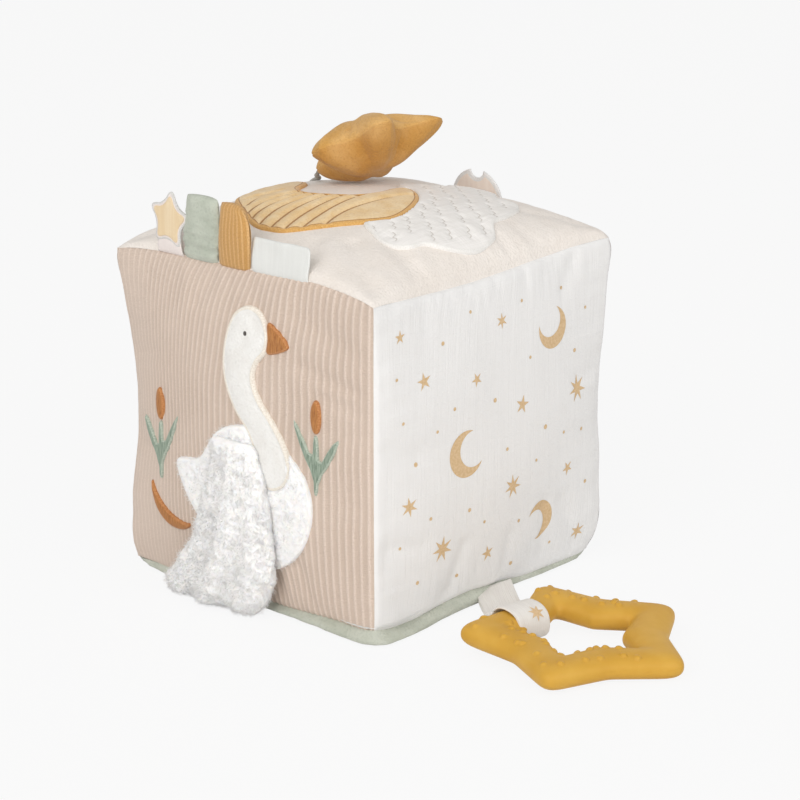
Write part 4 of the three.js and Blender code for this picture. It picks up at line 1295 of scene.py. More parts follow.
def squiggles():
    """The cloud's quilting: slanting rows of short wavy stitches, each row half a step behind the last."""
    lines = []
    middle = CLOUD_BASE + CLOUD_SIZE / 2
    for row in range(-CLOUD_ROWS, CLOUD_ROWS + 1):
        for step in range(-CLOUD_ROWS, CLOUD_ROWS + 1):
            place = middle + CLOUD_ALONG * CLOUD_STEP * (step + (row % 2) / 2)
            place = place + CLOUD_ACROSS * CLOUD_ROW_STEP * row
            stray = value_noise(np.array([[row * 1.7, step * 2.3], [row * 2.9, step * 1.3]]), 37)
            place = place + CLOUD_STRAY * stray
            sway = 0.8 * math.sin(2.4 * row + 1.7 * step)
            shares = [(-0.5, 0.1), (-0.28, 0.8), (-0.05, -0.5 + 0.3 * sway), (0.2, 0.7), (0.5, -0.2)]
            wave = [
                CLOUD_ALONG * a * CLOUD_STITCH + CLOUD_ACROSS * b * CLOUD_STITCH_HEIGHT for a, b in shares
            ]
            lines.append(smooth_curve(np.array(wave) + place, 18, closed=False))
    return lines


tail_lines = [smooth_curve(line, 100, closed=False) for line in TAIL_LINES]
cloud_lines = [
    line for line in squiggles() if is_inside(line, cloud).all() and not is_inside(line, tail).any()
]


def quilted_height(lines, full, depth, width, border, border_width, rise=3.5):
    """The height of a padded shape that its stitched lines draw in."""

    def height(flat, rim):
        sewn = bell(nearest_line(flat, lines), width)
        inner = np.clip((rim - border_width) / 1.5, 0, 1)
        return padded_height(full, rise, border, border_width)(flat, rim) - depth * sewn * inner

    return height


def with_stitches(paint, dark, width):
    """Thread along the sewn lines."""
    line = paint.stretch(paint.value("sewn"), width * 0.8 * MM, width * 1.3 * MM, 1.0, 0.0)
    paint.colour(paint.mix(line, paint.coloured(), dark))
    return paint


with_stitches(ochre_velour, "#a97c48", 0.5)
# Painted shade: a thin dark band just inside the tail's light satin border, along the border's inner edge.
with_rim(ochre_velour, 2.3, "#b17f44", "#a06c35")
with_rim(ochre_velour, 1.85, "#e3b775", "#cd9a52")
with_stitches(cloud_cotton, "#d3cec8", 0.26)
with_rim(cloud_cotton, 1.5, "#efedea", "#e6e3de")
applique("tail_pad", "top", tail, ochre_velour, "tail_applique",
         quilted_height(tail_lines, 1.7, 1.3, 1.6, 0.1, 1.2, 6.0), 0.75, (0.4, 0.8, 1.2, 1.6), tail_lines)


def cloud_height(flat, rim):
    quilted = quilted_height(cloud_lines, 1.3, 0.6, 1.6, 0.2, 1.5)
    return np.where(is_inside(flat, tail), -CLOUD_UNDER_TAIL, quilted(flat, rim))


applique("cloud_pad", "top", cloud, cloud_cotton, "cloud_applique", cloud_height, 0.75,
         (0.4, 0.85, 1.3, 1.7), cloud_lines)

# Sweeps along a path: ribbons and cords


def sweep(path, across, section):
    """Points and faces of a section swept along a path. A section's points are its own width and height."""
    along = units(np.gradient(path, axis=0))
    across = units(across - (across * along).sum(1)[:, None] * along)
    up = np.cross(across, along)
    rings = path[:, None] + across[:, None] * section[None, :, :1] + up[:, None] * section[None, :, 1:]
    count = len(section)
    faces = grid_faces(len(path), count, False, True).tolist()
    faces.append(list(range(count))[::-1])
    faces.append([(len(path) - 1) * count + k for k in range(count)])
    return rings.reshape(-1, 3), faces


def ribbon_section(width, thickness, steps=10):
    """A flat section with rounded edges and enough points across it to bend."""
    half, round_edge = width / 2, thickness / 2
    level = np.linspace(-half + round_edge, half - round_edge, steps)
    turn = np.linspace(-math.pi / 2, math.pi / 2, 6)[1:-1]
    right = np.column_stack([half - round_edge + np.cos(turn) * round_edge, np.sin(turn) * round_edge])
    bottom = np.column_stack([level, np.full(steps, -round_edge)])
    top = np.column_stack([level[::-1], np.full(steps, round_edge)])
    left = right[::-1] * np.array([-1, 1])
    return np.vstack([bottom, right, top, left])


def ribbon(name, path, across, width, thickness, paint, body, node, warp=None):
    """A ribbon whose cloth runs along it. warp moves its points by how far along the ribbon they lie."""
    section = ribbon_section(width, thickness)
    points, faces = sweep(path, across, section)
    reach = reaches(path)
    along = np.repeat(reach, len(section))
    cloth = np.column_stack([np.tile(section[:, 0], len(path)), along, np.zeros(len(points))])
    if warp is not None:
        points = points + warp(points, np.repeat(reach / reach[-1], len(section)))
    return piece(name, points, faces, paint, body, node, {"cloth": cloth * MM})


# Tags

TAG_PLY = 1.4
TAG_SUNK = 1.3
TAG_TUCK = 2.6
TAG_WAIST = 2 * TAG_PLY + GAP
TAG_TAPER_SHARE = 0.03
TAG_SIDE_BULGE = 1.2
TAG_LUMP = 0.5
TAG_LUMP_LENGTH = 8.0
TAG_TOP_SAG = 0.8
TAG_TOP_LUMP = 0.4
TAG_TOP_LUMP_LENGTH = 7.0
TAG_CORNER_DROP_SHARE = 0.35
TAG_SIDES_MET_SHARE = 0.97
RIPPLE_LENGTH = 0.75
RIPPLE_STRAY = 2.2
RIPPLE_STRAY_LENGTH = 5.0
GATHER_LENGTH = 2.8


def loop_path(height, depth, lean):
    """A folded tag's middle line in Y and Z, half its thickness inside its outline, from foot to foot."""
    straight = height - depth / 2
    up = np.linspace(0, 1, 16)
    reach = (TAG_WAIST + (depth - TAG_WAIST) * np.sin(math.pi / 2 * up)) / 2 - TAG_PLY / 2
    front = np.column_stack([-reach + lean * up**2, straight * up])
    back = np.column_stack([reach + lean * up**2, straight * up])
    turn = np.linspace(math.pi, 0, 16)[1:-1]
    radius = (depth - TAG_PLY) / 2
    bend = np.column_stack([radius * np.cos(turn) + lean, straight + radius * np.sin(turn)])
    return evenly(np.vstack([front, bend, back[::-1]]), 60, False)


def loop_tag(name, node, paint, width, height, depth, place, foot, shear, gathers, corner, leans):
    """A folded tag, whose plies meet at its sides and whose foot is gathered. Its back half stands further
    along X by the shear, its foot and its top by the leans. Its upper corner on the right is drawn in."""
    path = loop_path(height, depth, -GAP)
    level = path[:, 0] + foot[0] - TAG_WAIST / 2
    centre = np.column_stack([np.full(len(path), place), level, path[:, 1] + foot[1]])
    across = np.tile([1.0, 0.0, 0.0], (len(path), 1))

    def warp(points, share):
        up = np.clip((points[:, 2] - foot[1]) / height, 0, 1)
        side = (points[:, 0] - place) / (width / 2)
        moved = np.zeros_like(points)
        moved[:, 0] = shear * (share - 0.15) * up**0.5 - TAG_TAPER_SHARE * width * side * up
        moved[:, 0] += np.clip(side, 0, 1) * (TAG_SIDE_BULGE * np.sin(math.pi * up) - corner * up**5)
        moved[:, 0] += leans[0] * (1 - up) + leans[1] * up
        moved[:, 1] = TAG_LUMP * up * value_noise(points / TAG_LUMP_LENGTH, 41)
        stray = RIPPLE_STRAY * value_noise(points / RIPPLE_STRAY_LENGTH, 43)
        folds = 0.5 * np.sin(points[:, 2] / RIPPLE_LENGTH + stray) + value_noise(points / GATHER_LENGTH, 44)
        moved[:, 1] += gathers * (1 - up) ** 1.5 * up**0.3 * folds
        moved[:, 1] += TAG_TUCK * (1 - up) ** 3
        middle = foot[0] - TAG_WAIST / 2 - GAP * up**2
        moved[:, 1] += (middle - points[:, 1]) * TAG_SIDES_MET_SHARE * np.abs(side) ** 5
        lumps = TAG_TOP_LUMP * up * value_noise(points / TAG_TOP_LUMP_LENGTH, 47)
        moved[:, 2] = -TAG_TOP_SAG * up**3 * side**2 + lumps
        moved[:, 2] -= TAG_CORNER_DROP_SHARE * corner * up**4 * np.clip(side, 0, 1) ** 2
        return moved

    tag = ribbon(name, centre, across, width, TAG_PLY, paint, body_of(node), node, warp)
    return tag


sage_pile = velour("sage_pile", "#c3c8bb", "#b6bcae", "#9aa294", brush=90.0)
low, high = edges_of("sage_tag")
loop_tag("sage_loop", "sage_tag", sage_pile, width=20.4,
         height=high.z - low.z + TAG_SUNK + 1.6, depth=4.6, place=-23.1, foot=(-74.93, low.z - TAG_SUNK),
         shear=0.8, gathers=1.9, corner=1.0, leans=(-3.6, 1.0))
low, high = edges_of("corduroy_tag")
loop_tag("corduroy_loop", "corduroy_tag", ochre_corduroy, width=18.4,
         height=high.z - low.z + TAG_SUNK, depth=5.4, place=-4.3, foot=(-74.8, low.z - TAG_SUNK), shear=1.5,
         gathers=0.15, corner=4.6, leans=(-2.2, 1.4))

PLATE_EDGE_SHARE = 0.2
PLATE_RIM_SHARE = 0.45
PLATE_ROUND = 1.4
PLATE_BEND_LENGTH = 7.0
PLATE_FREE_HEIGHT = 8.0
PLATE_TUCK = 1.3
PLATE_TUCK_HEIGHT = 5.0


def plate(name, node, paint, outline, back, thickness, cell, body, lean=0.0, rings=(), soft=0.25,
          tuck=0.0):
    """A flat, slightly padded tag whose outline stands in X and Z, seen from both sides."""
    flat, faces = filled(outline, cell, rings)
    rim = distance_to(flat, outline)
    full = PLATE_RIM_SHARE + (1 - PLATE_RIM_SHARE) * np.sqrt(np.clip(rim / PLATE_ROUND, 0, 1))
    swell = thickness / 2 * full
    swell[rim < 1e-6] = thickness * PLATE_EDGE_SHARE
    up = flat[:, 1] - flat[:, 1].min()
    bend = soft * value_noise(flat / PLATE_BEND_LENGTH, 53) * np.clip(up / PLATE_FREE_HEIGHT, 0, 1)
    slope = math.tan(math.radians(lean)) * up
    slope = slope + tuck * np.clip(1 - up / PLATE_TUCK_HEIGHT, 0, 1) ** 2
    middle = back - thickness / 2 + bend + slope
    front = np.column_stack([flat[:, 0], middle - swell, flat[:, 1]])
    rear = np.column_stack([flat[:, 0], middle + swell, flat[:, 1]])
    count = len(flat)
    rear_faces = [[k + count for k in face[::-1]] for face in faces]
    sides = [[b, a, a + count, b + count] for a, b in boundary_of(faces)]
    cloth = np.column_stack([flat, np.zeros(count)]) * MM
    values = {"cloth": np.vstack([cloth, cloth]), "rim": np.concatenate([rim, rim]) * MM}
    points = np.vstack([front, rear])
    return piece(name, points, faces + rear_faces + sides, paint, body, node, values)


STAR_TAG_RADIUS = 13.0
STAR_TAG_TALL = 1.08
STAR_TAG_TILT = -7.0
STAR_TAG_X = -43.4
STAR_TAG_RISE = 1.3
STAR_TAG_FOOT_X = (-52.2, -36.3)
STAR_TAG_FOOT_TOP_X = (-50.4, -37.2)

# Radius of the points and of the notches
STAR_TAG_BACKING = (13.6, 7.4)
STAR_TAG_STAR = (11.4, 5.9)
low, high = edges_of("star_tag")
star_middle = np.array([STAR_TAG_X, high.z - STAR_TAG_RADIUS * STAR_TAG_TALL + STAR_TAG_RISE])


def tag_star(radius, inner):
    star = softened(rayed_star(5, radius, inner, STAR_TAG_TILT), 2, 100)
    return star * np.array([1, STAR_TAG_TALL]) + star_middle


foot_top = star_middle[1] - 0.45 * STAR_TAG_RADIUS
foot_low = low.z - TAG_SUNK
foot_corners = [(x, foot_low) for x in STAR_TAG_FOOT_X] + [(x, foot_top) for x in STAR_TAG_FOOT_TOP_X[::-1]]
plate("star_tag_foot", None, peach_plain, straight_outline(foot_corners, 0.8), high.y + 0.1,
      TAG_PLY - 0.2, 0.9, "star_tag", tuck=PLATE_TUCK)
plate("star_tag_backing", "star_tag", peach_satin, tag_star(*STAR_TAG_BACKING), high.y - 0.1,
      TAG_PLY, 0.8, "star_tag", rings=(0.4, 0.8))
plate("star_tag_star", None, star_satin, tag_star(*STAR_TAG_STAR), high.y - 1.05, 0.8, 0.7,
      "star_tag", rings=(0.35,))

LABEL_X = (4.8, 37.8)
LABEL_HEIGHT = 14.5
LABEL_CORNER = 4.8
LABEL_BACK = -75.03
LABEL_THICKNESS = 0.9
LABEL_LEAN = 8.0
low, high = edges_of("label_tag")
label_low = low.z - TAG_SUNK
label_top = low.z + LABEL_HEIGHT
label_corners = [(x, label_low) for x in LABEL_X] + [(x, label_top) for x in LABEL_X[::-1]]
label_outline = softened(straight_outline(label_corners, LABEL_CORNER), 3, 170)
plate("label_cloth", "label_tag", label_weave, label_outline, LABEL_BACK, LABEL_THICKNESS, 0.9,
      "label_tag", lean=LABEL_LEAN, soft=0.7, tuck=PLATE_TUCK)

MOON_RADIUS = 15.1
MOON_BITE = 4.1
MOON_RISE = 15.1
MOON_SINK = 12.6
MOON_X = 1.5
low, high = edges_of("moon_tag")
moon_middle = np.array([MOON_X, low.z + MOON_RADIUS - MOON_SINK])
moon = straight_outline(crescent(MOON_RADIUS, MOON_BITE, MOON_RISE, 90.0) + moon_middle, 0.7)
moon = moon[moon[:, 1] > low.z + 0.1]
steps = np.linalg.norm(np.diff(np.vstack([moon, moon[:1]]), axis=0), axis=1)
start = int(np.argmax(steps)) + 1
moon = straight_outline(np.roll(moon, -start, axis=0), 0.8)
plate("moon_tag_cloth", "moon_tag", taupe_satin, moon, high.y, TAG_PLY, 0.8, "moon_tag",
      rings=(0.4, 0.8))

# The wing flap

# Its rows from the sewn top down: height, left end, right end and fullness, all as shares
WING_ROW_SHARES = np.array([
    (1.0, 0.5, 0.8, 0), (0.97, 0.47, 0.84, 0.3), (0.85, 0.47, 0.9, 0.62), (0.64, 0.4, 0.96, 0.86),
    (0.38, 0.29, 0.99, 1), (0.24, 0.16, 1.0, 1), (0.1, 0.03, 0.94, 0.96), (0.03, 0.02, 0.86, 0.7),
    (0.0, 0.06, 0.82, 0.25),
])
WING_WIDTH = 64.0
WING_HEIGHT = 77.0
WING_FOOT = 1.0
WING_PLACE = 40.0
WING_BACK = HALF + SIDE_CROWN + 2 * GAP + APPLIQUE
WING_THIN = 3.0
WING_FULL = 7.0
WING_EDGE = 1.6
WING_FOLD = 2.2
WING_FOLDS = 5
WING_LOWEST = 0.4


def wing_point(across, up, front):
    """A point of the flap: across and up are shares of its row and its height."""
    table = WING_ROW_SHARES[::-1]
    left, right, full = (np.interp(up, table[:, 0], table[:, k]) for k in (1, 2, 3))
    x = -WING_PLACE + WING_WIDTH * (left + (right - left) * across)
    z = WING_FOOT + WING_HEIGHT * up
    full = WING_THIN + WING_FULL * full
    round_share = np.sqrt(np.clip(1 - (2 * across - 1) ** 2, 0, 1))
    fold = WING_FOLD * (1 - up) * np.sin(WING_FOLDS * math.pi * across) * round_share
    swell = WING_EDGE + (full - WING_EDGE) * round_share + fold
    return np.column_stack([x, -WING_BACK - np.where(front, swell, 0), z])


def wing():
    """The flap: a padded front with folds, a flat back, and curls all over."""
    rows, columns = 150, 120
    spread = 0.5 - 0.5 * np.cos(np.linspace(0, math.pi, columns))
    up, across = np.meshgrid(np.linspace(0, 1, rows), spread, indexing="ij")
    up, across = up.ravel(), across.ravel()
    front = wing_point(across, up, True)
    back = wing_point(across, up, False)
    grid = grid_faces(rows, columns).tolist()
    count = len(front)
    faces = grid + [[k + count for k in face[::-1]] for face in grid]
    faces += [[b, a, a + count, b + count] for a, b in boundary_of(grid)]
    points = np.vstack([front, back])
    pile = curly(points, 61)
    points[:count, 1] -= 1.0 * pile[:count]
    side = 2 * np.tile(across, 2) - 1
    points[:, 0] += (1.2 * pile + 0.8) * np.sign(side) * np.abs(side) ** 3
    points[:, 2] += 1.3 * pile * (1 - np.tile(up, 2)) ** 8
    points[:, 2] = np.maximum(points[:, 2], WING_LOWEST)
    return piece("wing_pile", points, faces, sherpa, "wing_flap", "wing_flap")


wing_obj = wing()

# Sherpa fibres


FIBRE_STEPS = 4
FIBRE_STRAY = 0.55
FIBRE_CLUMP = 0.9
FIBRE_CLUMP_LENGTH = 4.0
FIBRE_DROOP = 0.35
FIBRE_CURL_SHARE = 0.28
FIBRE_TAPER_SHARE = 0.75
FIBRE_LOWEST = 0.3


def fibres(name, roots, normals, length, thickness, seed, body):
    """Short curling strands on a surface."""
    rng = np.random.default_rng(seed)
    count = len(roots)
    lean = rng.normal(0, FIBRE_STRAY, (count, 3))
    clump = np.column_stack([value_noise(roots / FIBRE_CLUMP_LENGTH, seed + k) for k in range(3)])
    way = normals + lean + FIBRE_CLUMP * clump
    way[:, 2] -= FIBRE_DROOP
    way = units(way)
    side = units(np.cross(way, rng.normal(0, 1, (count, 3))))
    other = np.cross(way, side)
    lengths = length * rng.uniform(0.6, 1.25, count)
    turns = rng.uniform(2.2, 5.0, count)
    share = np.linspace(0, 1, FIBRE_STEPS + 1)
    curl = FIBRE_CURL_SHARE * lengths[:, None]
    bent = turns[:, None] * share
    centre = (
        roots[:, None]
        + way[:, None] * (lengths[:, None] * share)[..., None]
        + side[:, None] * (curl * np.sin(bent) * share**0.5)[..., None]
        + other[:, None] * (curl * (1 - np.cos(bent)))[..., None]
    )
    width = thickness * (1.0 - FIBRE_TAPER_SHARE * share)
    corner = np.array([0, 2 * math.pi / 3, 4 * math.pi / 3])
    ring = side[:, None] * np.cos(corner)[None, :, None] + other[:, None] * np.sin(corner)[None, :, None]
    points = centre[:, :, None] + ring[:, None] * width[None, :, None, None]
    one = grid_faces(FIBRE_STEPS + 1, 3, False, True)
    faces = (one[None] + (np.arange(count) * (FIBRE_STEPS + 1) * 3)[:, None, None]).reshape(-1, 4)
    points = points.reshape(-1, 3)
    points[:, 2] = np.maximum(points[:, 2], FIBRE_LOWEST)
    return piece(name, points, faces, sherpa_fibre, body)


def scattered(obj, count, seed, keep):
    """Random places where a mesh is kept, in millimetres, with the way that it looks there."""
    rng = np.random.default_rng(seed)
    mesh = obj.data
    mesh.calc_loop_triangles()
    corners = np.zeros(len(mesh.loop_triangles) * 3, np.int32)
    mesh.loop_triangles.foreach_get("vertices", corners)
    corners = corners.reshape(-1, 3)
    verts = coordinates(mesh) / MM
    a, b, c = (verts[corners[:, k]] for k in range(3))
    normal = np.cross(b - a, c - a)
    area = np.linalg.norm(normal, axis=1)
    normal = normal / np.maximum(area, 1e-12)[:, None]
    weight = area * keep((a + b + c) / 3, normal)
    chosen = rng.choice(len(corners), count, p=weight / weight.sum())
    r, s = np.sqrt(rng.random(count)), rng.random(count)
    places = a[chosen] * (1 - r)[:, None] + b[chosen] * (r * (1 - s))[:, None] + c[chosen] * (r * s)[:, None]
    return places, normal[chosen]


def on_the_outside(middle, normal):
    return (normal[:, 1] < 0.3) * (normal[:, 2] < 0.5) * 1.0


def in_the_open(middle, normal):
    return ~is_inside(middle[:, [0, 2]], neck) * (normal[:, 1] < -0.2) * 1.0


roots, ways = scattered(wing_obj, 8300, 5, on_the_outside)
fibres("wing_fibres", roots, ways, 1.8, 0.12, 15, "wing_flap")
roots, ways = scattered(bpy.data.objects["swan_body_pile"], 3500, 6, in_the_open)
fibres("swan_body_fibres", roots, ways, 1.5, 0.12, 16, "block")

# The teether and its strap

RING_RADIUS = 31.4
RING_POINT = 6.8
RING_SHARPEN = 2.5
ARM_THICKNESS = 11.3
RING_TURN = 5.4
NOTCH_PLACE = (118.0, -25.5)
STRAP_WIDTH = 19.0
STRAP_PLY = 1.2
LOOP_HEIGHT = 13.4
LOOP_MIDDLE = LOOP_HEIGHT / 2 + STRAP_PLY + GAP
ARM_SQUARE = 0.88
RING_SAMPLES = 1440
RING_ANGLES = full_turn(RING_SAMPLES)

# Which parts of the way round the ring are plain, and lie in the strap
PLAIN_START_SHARE = -0.04
PLAIN_SHARE = 0.265
STRAP_SHARES = (0.43, 0.57)


def from_point(angle):
    """How far an angle lies from the nearest of a star's five points."""
    return np.abs((angle + math.pi / 5) % (2 * math.pi / 5) - math.pi / 5)


def star_reach(tip, notch, rounding):
    """How far a five-pointed outline with rounded corners reaches at even angles from a point on."""
    angle = RING_ANGLES
    part = from_point(angle)
    reach = tip * notch * math.sin(math.pi / 5) / (tip * np.sin(part) + notch * np.sin(math.pi / 5 - part))
    away = np.minimum(angle, 2 * math.pi - angle)
    weight = np.exp(-0.5 * (away / math.radians(rounding)) ** 2)
    return np.fft.irfft(np.fft.rfft(reach) * np.fft.rfft(weight / weight.sum()), RING_SAMPLES)


def near_angle(middle, width):
    """1 at an angle in degrees, falling off over a width on both sides of it."""
    return bell(np.degrees(RING_ANGLES) - middle, width)


OUTER_REACH = star_reach(53.0, 36.8, 3.6) - 3.2 * near_angle(160, 12)
INNER_REACH = star_reach(28.6, 17.4, 3.4) + 3.4 * near_angle(180, 18)


def ring_reach(angle):
    return RING_RADIUS + RING_POINT * np.cos(5 * angle) + RING_SHARPEN * np.cos(10 * angle)


def squared(wave, power):
    """A cosine or sine whose circle is nearer a square."""
    return np.sign(wave) * np.abs(wave) ** power


def arm_point(angle, turn, grow=0.0):
    """Points of the arm's skin. turn runs from 0 at the outer edge over the top."""
    share = (angle / (2 * math.pi)) % 1 * RING_SAMPLES
    place = np.arange(RING_SAMPLES + 1)
    outer = np.interp(share, place, np.append(OUTER_REACH, OUTER_REACH[0]))
    inner = np.interp(share, place, np.append(INNER_REACH, INNER_REACH[0]))
    across = squared(np.cos(turn), ARM_SQUARE)
    up = squared(np.sin(turn), ARM_SQUARE)
    reach = (outer + inner) / 2 + ((outer - inner) / 2 + grow) * across
    return np.column_stack([reach * np.cos(angle), reach * np.sin(angle), (ARM_THICKNESS / 2 + grow) * up])


def moved_by(matrix, points):
    matrix = np.array(matrix)
    return points @ matrix[:3, :3].T + matrix[:3, 3]


def ring_placed(points):
    """From the ring's own plane to where it lies in its loop."""
    notch_reach = ring_reach(math.pi)
    tilt = math.asin((LOOP_MIDDLE - ARM_THICKNESS / 2) / (notch_reach + RING_RADIUS))
    way = math.pi + math.radians(RING_TURN)
    to_notch = Matrix.Translation((-notch_reach * math.cos(way), -notch_reach * math.sin(way), 0))
    move = Matrix.Rotation(tilt, 4, "Y") @ to_notch @ Matrix.Rotation(math.radians(RING_TURN), 4, "Z")
    move = Matrix.Translation((*NOTCH_PLACE, LOOP_MIDDLE)) @ move
    return moved_by(move, points)


# Rows of nubs: their angle round the arm in degrees, their number, and where the first one stands
NUB_ROWS = ((38, 30, 0.5), (92, 34, 0.2))
NUB_SWING = 34
NUB_RADIUS = 1.65
NUB_HEIGHT = 1.05
NUB_STRAY = 0.45
NUB_STRAY_TURN = 30


def nub_places():
    """Rows of nubs round each arm, which stray a little from their rows."""
    places = []
    for row, (turn, count, shift) in enumerate(NUB_ROWS):
        for k in range(count):
            stray = value_noise(np.array([[k * 1.7, row * 3.1], [k * 1.3 + 40, row * 2.3]]), 131) * NUB_STRAY
            share = (k + shift + stray[0]) / count
            plain = (share - PLAIN_START_SHARE) % 1 < PLAIN_SHARE
            strapped = STRAP_SHARES[0] < share % 1 < STRAP_SHARES[1]
            if not plain and not strapped:
                nearness = (1 - math.sin(share * 2 * math.pi)) / 2
                row_turn = turn + NUB_SWING * nearness + NUB_STRAY_TURN * stray[1]
                places.append((share * 2 * math.pi, math.radians(row_turn)))
    return places


def teether():
    """The star-shaped ring with its rows of nubs."""
    rows, columns = 720, 96
    angle, turn = np.meshgrid(full_turn(rows), full_turn(columns), indexing="ij")
    angle, turn = angle.ravel(), turn.ravel()
    points = arm_point(angle, turn)
    away = units(arm_point(angle, turn, 1.0) - points)
    lift = np.zeros(len(points))
    for nub_angle, nub_turn in nub_places():
        seat = arm_point(np.array([nub_angle]), np.array([nub_turn]))
        reach = np.linalg.norm(points - seat, axis=1) / NUB_RADIUS
        lift = np.maximum(lift, NUB_HEIGHT * np.clip(1 - reach**2.2, 0, 1) ** 0.7)
    points = ring_placed(points + away * lift[:, None])
    faces = grid_faces(rows, columns, True, True)[:, ::-1]
    return piece("teether_ring", points, faces, silicone, "star_teether", "star_teether")


teether()

LOOP_PLACE = np.array([116.0, -27.6, 8.0])
LOOP_HALF = np.array([9.4, 7.4])
LOOP_TURN = 11.0
LOOP_SQUARE = 0.85
STRAP_NEAR = 16.8
STRAP_SEAM = np.array([HALF - 0.4, 3.6, 4.4])
STRAP_SEAM_SLOPE = 4.4
STRAP_SAG = 1.2
STRAP_THICKNESS = 1.0
STRAP_APART = 0.05
STRAP_OPEN_SHARE = 0.88
ACROSS_WEIGHT = 4


def strap_path():
    """Out of the seam, over the arm, round it and back underneath: its line, and the way across it."""
    turn = np.linspace(math.pi, -math.pi, 81)
    radians = math.radians(LOOP_TURN)
    ahead = np.array([math.cos(radians), -math.sin(radians), 0])
    side = np.array([math.sin(radians), math.cos(radians), 0])
    c, s = np.cos(turn), np.sin(turn)
    loop = LOOP_PLACE + np.outer(squared(c, LOOP_SQUARE) * LOOP_HALF[0], ahead)
    loop[:, 2] += squared(s, LOOP_SQUARE) * LOOP_HALF[1]
    split = loop[0]
    share = np.linspace(0, 1, 14)[:, None]
    out = STRAP_SEAM + (split - STRAP_SEAM) * share
    out[:, 2] -= STRAP_SAG * np.sin(math.pi * share[:, 0])
    ply = np.array([0, 0, STRAP_PLY / 2 + STRAP_APART])
    keep = np.abs(turn) < STRAP_OPEN_SHARE * math.pi
    line = np.vstack([out[:-1] + ply, loop[keep], (out[:-1] - ply)[::-1]])
    seam_side = np.array([0, 1, STRAP_SEAM_SLOPE / STRAP_WIDTH])
    out_side = seam_side + (side - seam_side) * share
    across = np.vstack([out_side[:-1], np.tile(side, (keep.sum(), 1)), out_side[:-1][::-1]])
    both = smooth_curve(np.hstack([line, across * ACROSS_WEIGHT]), 200, closed=False)
    return both[:, :3], both[:, 3:]


strap_line, strap_across = strap_path()
strap_obj = ribbon("strap_ribbon", strap_line, strap_across, STRAP_NEAR, STRAP_THICKNESS, ribbon_weave,
                   "teether_strap", "teether_strap")
STRAP_STAR_X = 122.6
STRAP_STAR_ASIDE = 2.6
STRAP_STAR_LIFT = 0.62
STRAP_STAR_POINTS = 7
STRAP_STAR_RADIUS = 3.9
STRAP_STAR_NOTCH = 1.7
STRAP_STAR_TURN = 8.0


def read_along(line, reach, along):
    """A line's places at distances along it."""
    return np.column_stack([np.interp(along, reach, line[:, k]) for k in range(3)])


def strap_star():
    """The strap's one printed star, on the outside of its loop."""
    outline = rayed_star(STRAP_STAR_POINTS, STRAP_STAR_RADIUS, STRAP_STAR_NOTCH, STRAP_STAR_TURN)
    flat, faces = filled(straight_outline(outline, 0.5), 0.7)
    reach = reaches(strap_line)
    top = strap_line[:, 2] > LOOP_PLACE[2]
    nearest = np.argmin(np.where(top, np.abs(strap_line[:, 0] - STRAP_STAR_X), FAR))
    along = reach[nearest] + flat[:, 1]
    middle = read_along(strap_line, reach, along)
    way = units(read_along(strap_line, reach, along + 0.5) - middle)
    across = units(read_along(strap_across, reach, along))
    up = np.cross(across, way)
    points = middle + across * (flat[:, :1] + STRAP_STAR_ASIDE) - up * STRAP_STAR_LIFT
    return piece("strap_print", points, faces, ink, "teether_strap")


strap_star()

# The plush star and its tether

PLUSH_RADIUS = 31.1
PLUSH_NOTCH = 19.9
PLUSH_BLUNT_SHARE = 0.955
PLUSH_SEAM_RISE = 1.0
PLUSH_RIGHT_ARM_SHARE = 0.25
PLUSH_RIGHT_ARM_THIN_SHARE = 0.32
PLUSH_RIGHT_ARM_WIDTH = 0.33
PLUSH_RIGHT_ARM_THIN_WIDTH = 0.5
PLUSH_FULL = 22.6
PLUSH_VALLEY = 1.3
PLUSH_VALLEY_WIDTH = 2.6
PLUSH_FOLD_LENGTH = 11.0
PLUSH_FOLD_SHARE = 0.03
PLUSH_PUCKER = 0.8
PLUSH_DRAWN_SHARE = 0.975
PLUSH_SHADE_REACH = 60
PLUSH_PLACE = (-17.2, 21.7, 186.7)
PLUSH_RISE = 15.2
PLUSH_DIP = 30.4
PLUSH_AIM = 51.9
PLUSH_TURN = -4.1
PLUSH_TAPER_SHARE = 1.34


def plush_matrix():
    """The way the star lies: its right arm along the first axis, its far side along the second."""
    aim = math.radians(PLUSH_AIM)
    right = Vector((math.cos(aim), math.sin(aim), 0))
    away = Vector((-math.sin(aim), math.cos(aim), 0))
    up = Vector((0, 0, 1))
    rise, dip = math.radians(PLUSH_RISE), math.radians(PLUSH_DIP)
    first = right * math.cos(rise) + up * math.sin(rise)
    second = away * math.cos(dip) - up * math.sin(dip)
    second = (second - first * second.dot(first)).normalized()
    third = first.cross(second)
    lie = Matrix((first, second, third)).transposed().to_4x4()
    return Matrix.Translation(PLUSH_PLACE) @ lie @ Matrix.Rotation(math.radians(PLUSH_TURN), 4, "Z")


